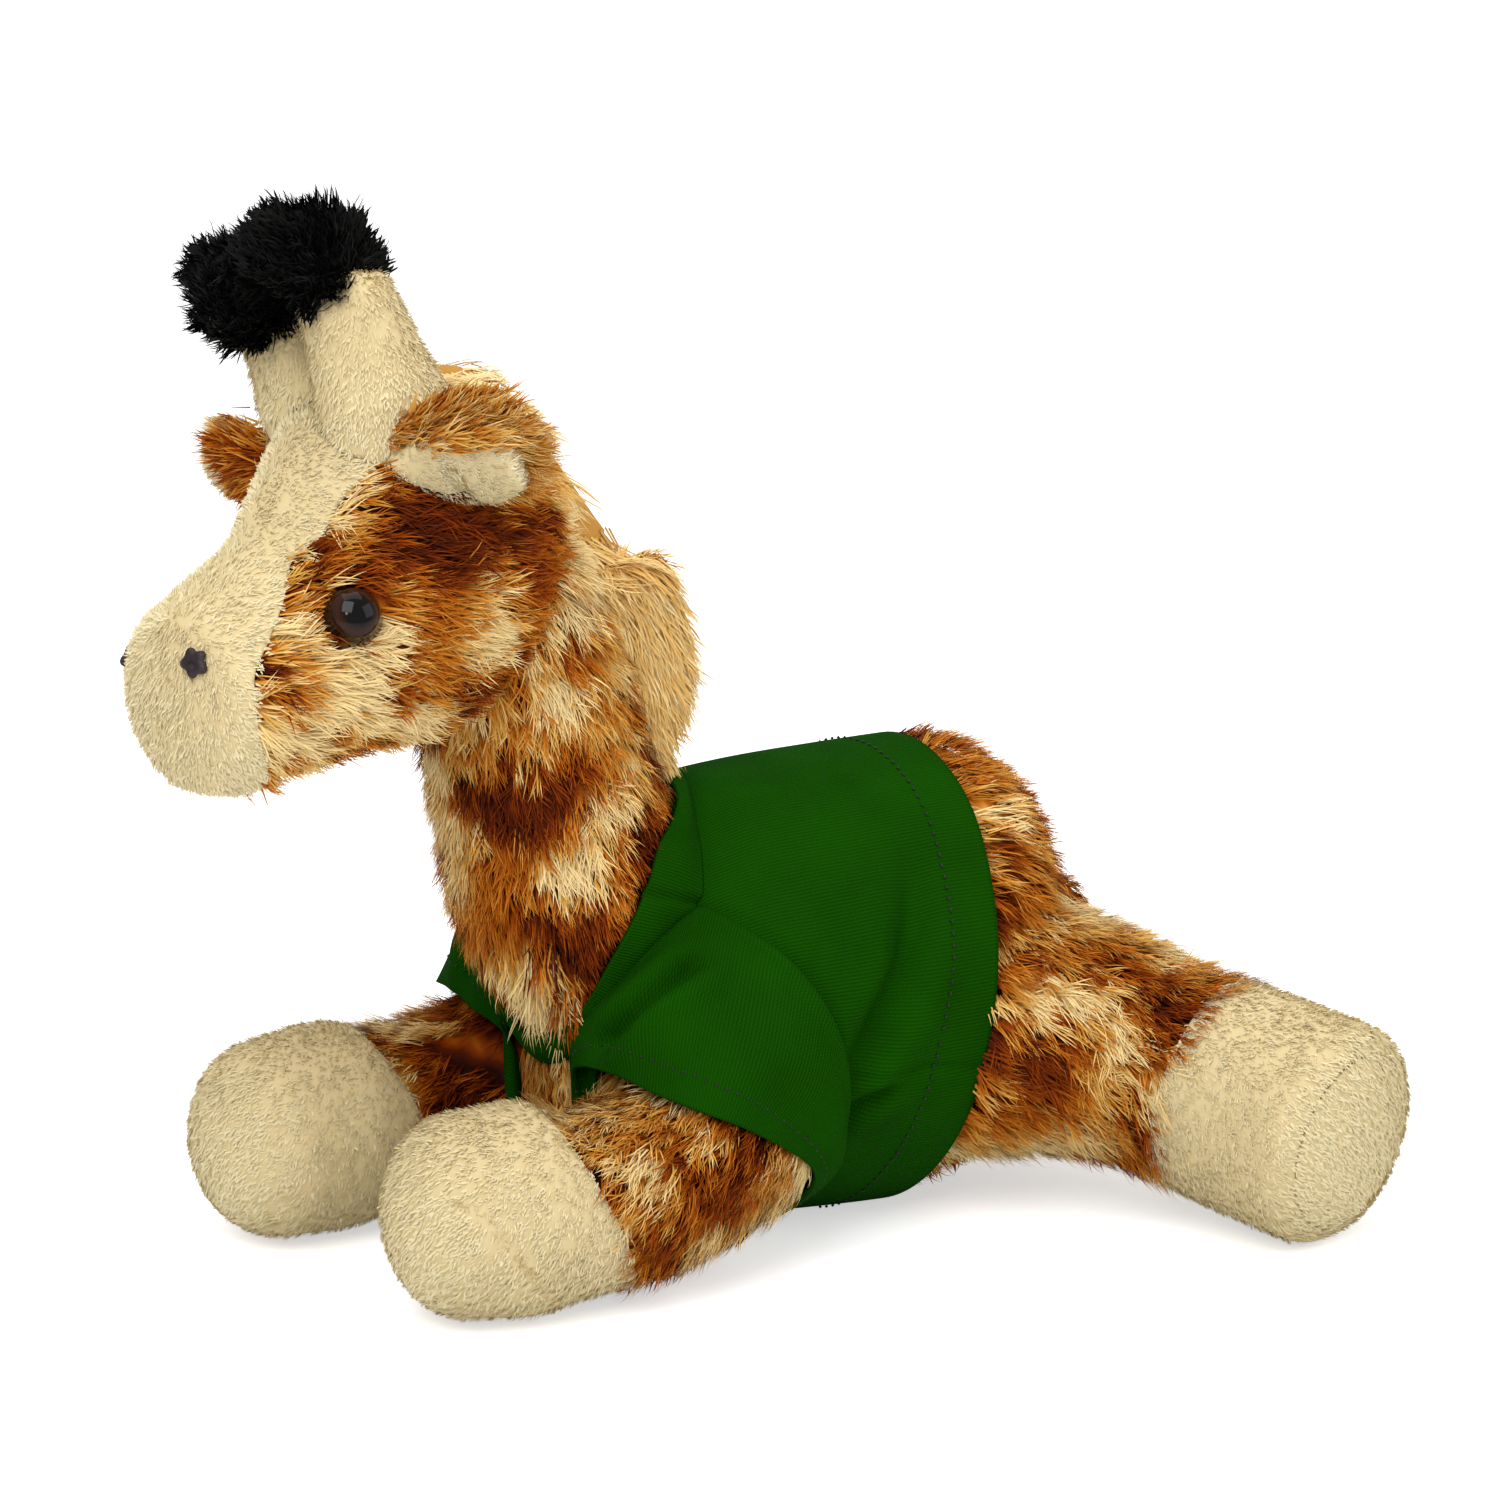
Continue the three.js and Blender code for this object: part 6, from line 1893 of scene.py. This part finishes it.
# Tail
TAIL_ROOT = PIVOT["tail_swing"]
TAIL_SET_BACK = 13.0
TAIL_DROP = 26.0
TAIL_RADIUS = 3.4
TAIL_DOME = 2.0
TAIL_TUFT_RADIUS = 5.0
TAIL_TUFT_LENGTH = 10.0
TAIL_INSET = -1.2
TUFT_INSET = -1.5
tail_shares = [(-0.2, -0.06), (0.55, 0.12), (0.92, 0.45), (1, 1)]
TAIL = Form([
    (TAIL_ROOT + vec(TAIL_SET_BACK * back, 0, -TAIL_DROP * down), TAIL_RADIUS, TAIL_RADIUS)
    for back, down in tail_shares
], (TAIL_DOME, TAIL_DOME))
tail_end = TAIL_ROOT + vec(TAIL_SET_BACK, 0, -TAIL_DROP - TAIL_DOME)
TAIL_TUFT = Form([
    (tail_end + vec(TAIL_DOME * along, 0, -TAIL_TUFT_LENGTH * along), *[TAIL_TUFT_RADIUS * girth] * 2)
    for along, girth in [(0, 0.7), (0.5, 1), (1, 0.6)]
], (TAIL_DOME, TAIL_DOME))
core(
    "tail_hide", TAIL.mesh(TAIL_INSET), FUR, parent_paths(torso_solid, "tail_swing"), "tail", "tail_skin",
    "torso",
)
long_pile(
    "tail_fur", "tail", FUR, TAIL, TAIL_INSET, 0.9, vec(0.4, 0, -1.0), [outside(torso_solid, 1.0)], 4.5, 0.35,
    (0.4, 0.75), 6,
)
core("tail_tuft_core", TAIL_TUFT.mesh(TUFT_INSET), BLACK, [TAIL.mesh(-0.9)], "tail", "tail_tuft")
long_pile(
    "tail_tuft", "tail", BLACK, TAIL_TUFT, TUFT_INSET, 1.1, vec(0.2, 0, -1.0), [], 6.0, 0.4,
    BLACK_TONES, 7, 0.8,
)

# What the skins hold: batting, the pellet pouch and the lock washers
BATTING_VOXEL = 1.6
BATTING_SLACK = 1.6


def filling(name, source, made_of, body):
    """A soft lump within a CAD lump's own space: remeshed, relaxed, and a little slack."""
    made = linked(name, frame["nodes"][source].data.copy())
    made.data.materials.clear()
    made.data.materials.append(made_of)
    remesh = made.modifiers.new("remesh", "REMESH")
    remesh.mode = "VOXEL"
    remesh.voxel_size = BATTING_VOXEL * MM
    relax = made.modifiers.new("relax", "SMOOTH")
    relax.factor = 0.5
    relax.iterations = 6
    slack = made.modifiers.new("slack", "DISPLACE")
    slack.mid_level = 0
    slack.strength = -BATTING_SLACK * MM
    applied(made)
    if body == "head":
        carved(made, [HEAD.mesh(HIDE_INSET - SKIN - 0.4)], "INTERSECT")
    dress(smooth(made), body, [source])


for body, parts in frame["record"]["behaviour"]["bodies"].items():
    for part in parts:
        if "stuffing" in part:
            filling(part.replace("stuffing", "batting"), part, BATTING, body)
        if "washer" in part:
            frame["nodes"][part].data.materials.clear()
            frame["nodes"][part].data.materials.append(WASHER)
filling("pellet_bag", "pellet_pouch", POUCH, "torso")


# Floor, world and lamps
STUDIO_LIGHT = 0.55
FLOOR_REACH = 4000
LAMP_AIM = (-30.0, 0.0, 60.0)


def shown_to_camera(tree, lit, shown, output):
    """Shows one shader to the camera, while another takes part in the lighting."""
    mix = add(tree, "MixShader")
    seen = add(tree, "LightPath").outputs["Is Camera Ray"]
    for value, socket in zip((seen, lit, shown), mix.inputs):
        tree.links.new(value, socket)
    put(tree.nodes[output], Surface=mix.outputs[0])


def make_stage():
    corners = [(x * FLOOR_REACH, y * FLOOR_REACH, 0) for x, y in ((-1, -1), (1, -1), (1, 1), (-1, 1))]
    floor_white, tree, shader = material("floor_white")
    put(shader, Base_Color=(0.9, 0.9, 0.9, 1), Specular_IOR_Level=0.0)
    glow = add(tree, "Emission", Strength=STUDIO_LIGHT)
    both = add(tree, "AddShader")
    tree.links.new(shader.outputs[0], both.inputs[0])
    tree.links.new(glow.outputs[0], both.inputs[1])
    shown_to_camera(tree, shader.outputs[0], both.outputs[0], "Material Output")
    new_object("floor", corners, [(0, 1, 2, 3)], floor_white)
    world = bpy.data.worlds.new("studio")
    bpy.context.scene.world = world
    world.use_nodes = True
    tree = world.node_tree
    soft = put(tree.nodes["Background"], Color=(1, 1, 1, 1), Strength=STUDIO_LIGHT)
    white = add(tree, "Background", Color=(1, 1, 1, 1), Strength=1.0)
    shown_to_camera(tree, soft.outputs[0], white.outputs[0], "World Output")


def make_lamp(name, place, size, power):
    lamp = bpy.data.lights.new(name, "AREA")
    lamp.shape = "SQUARE"
    lamp.size = size
    lamp.energy = power
    made = linked(name, lamp)
    made.location = Vector(row(place))
    aim = Vector(row(LAMP_AIM)) - made.location
    made.rotation_euler = aim.to_track_quat("-Z", "Y").to_euler()


make_stage()
make_lamp("key", (-500, -500, 800), 0.6, 5.5)
make_lamp("fill", (500, -700, 500), 0.6, 1.8)
make_lamp("top", (0, 100, 900), 0.8, 3)
make_lamp("glint", (-520, -520, 420), 0.09, 0.35)
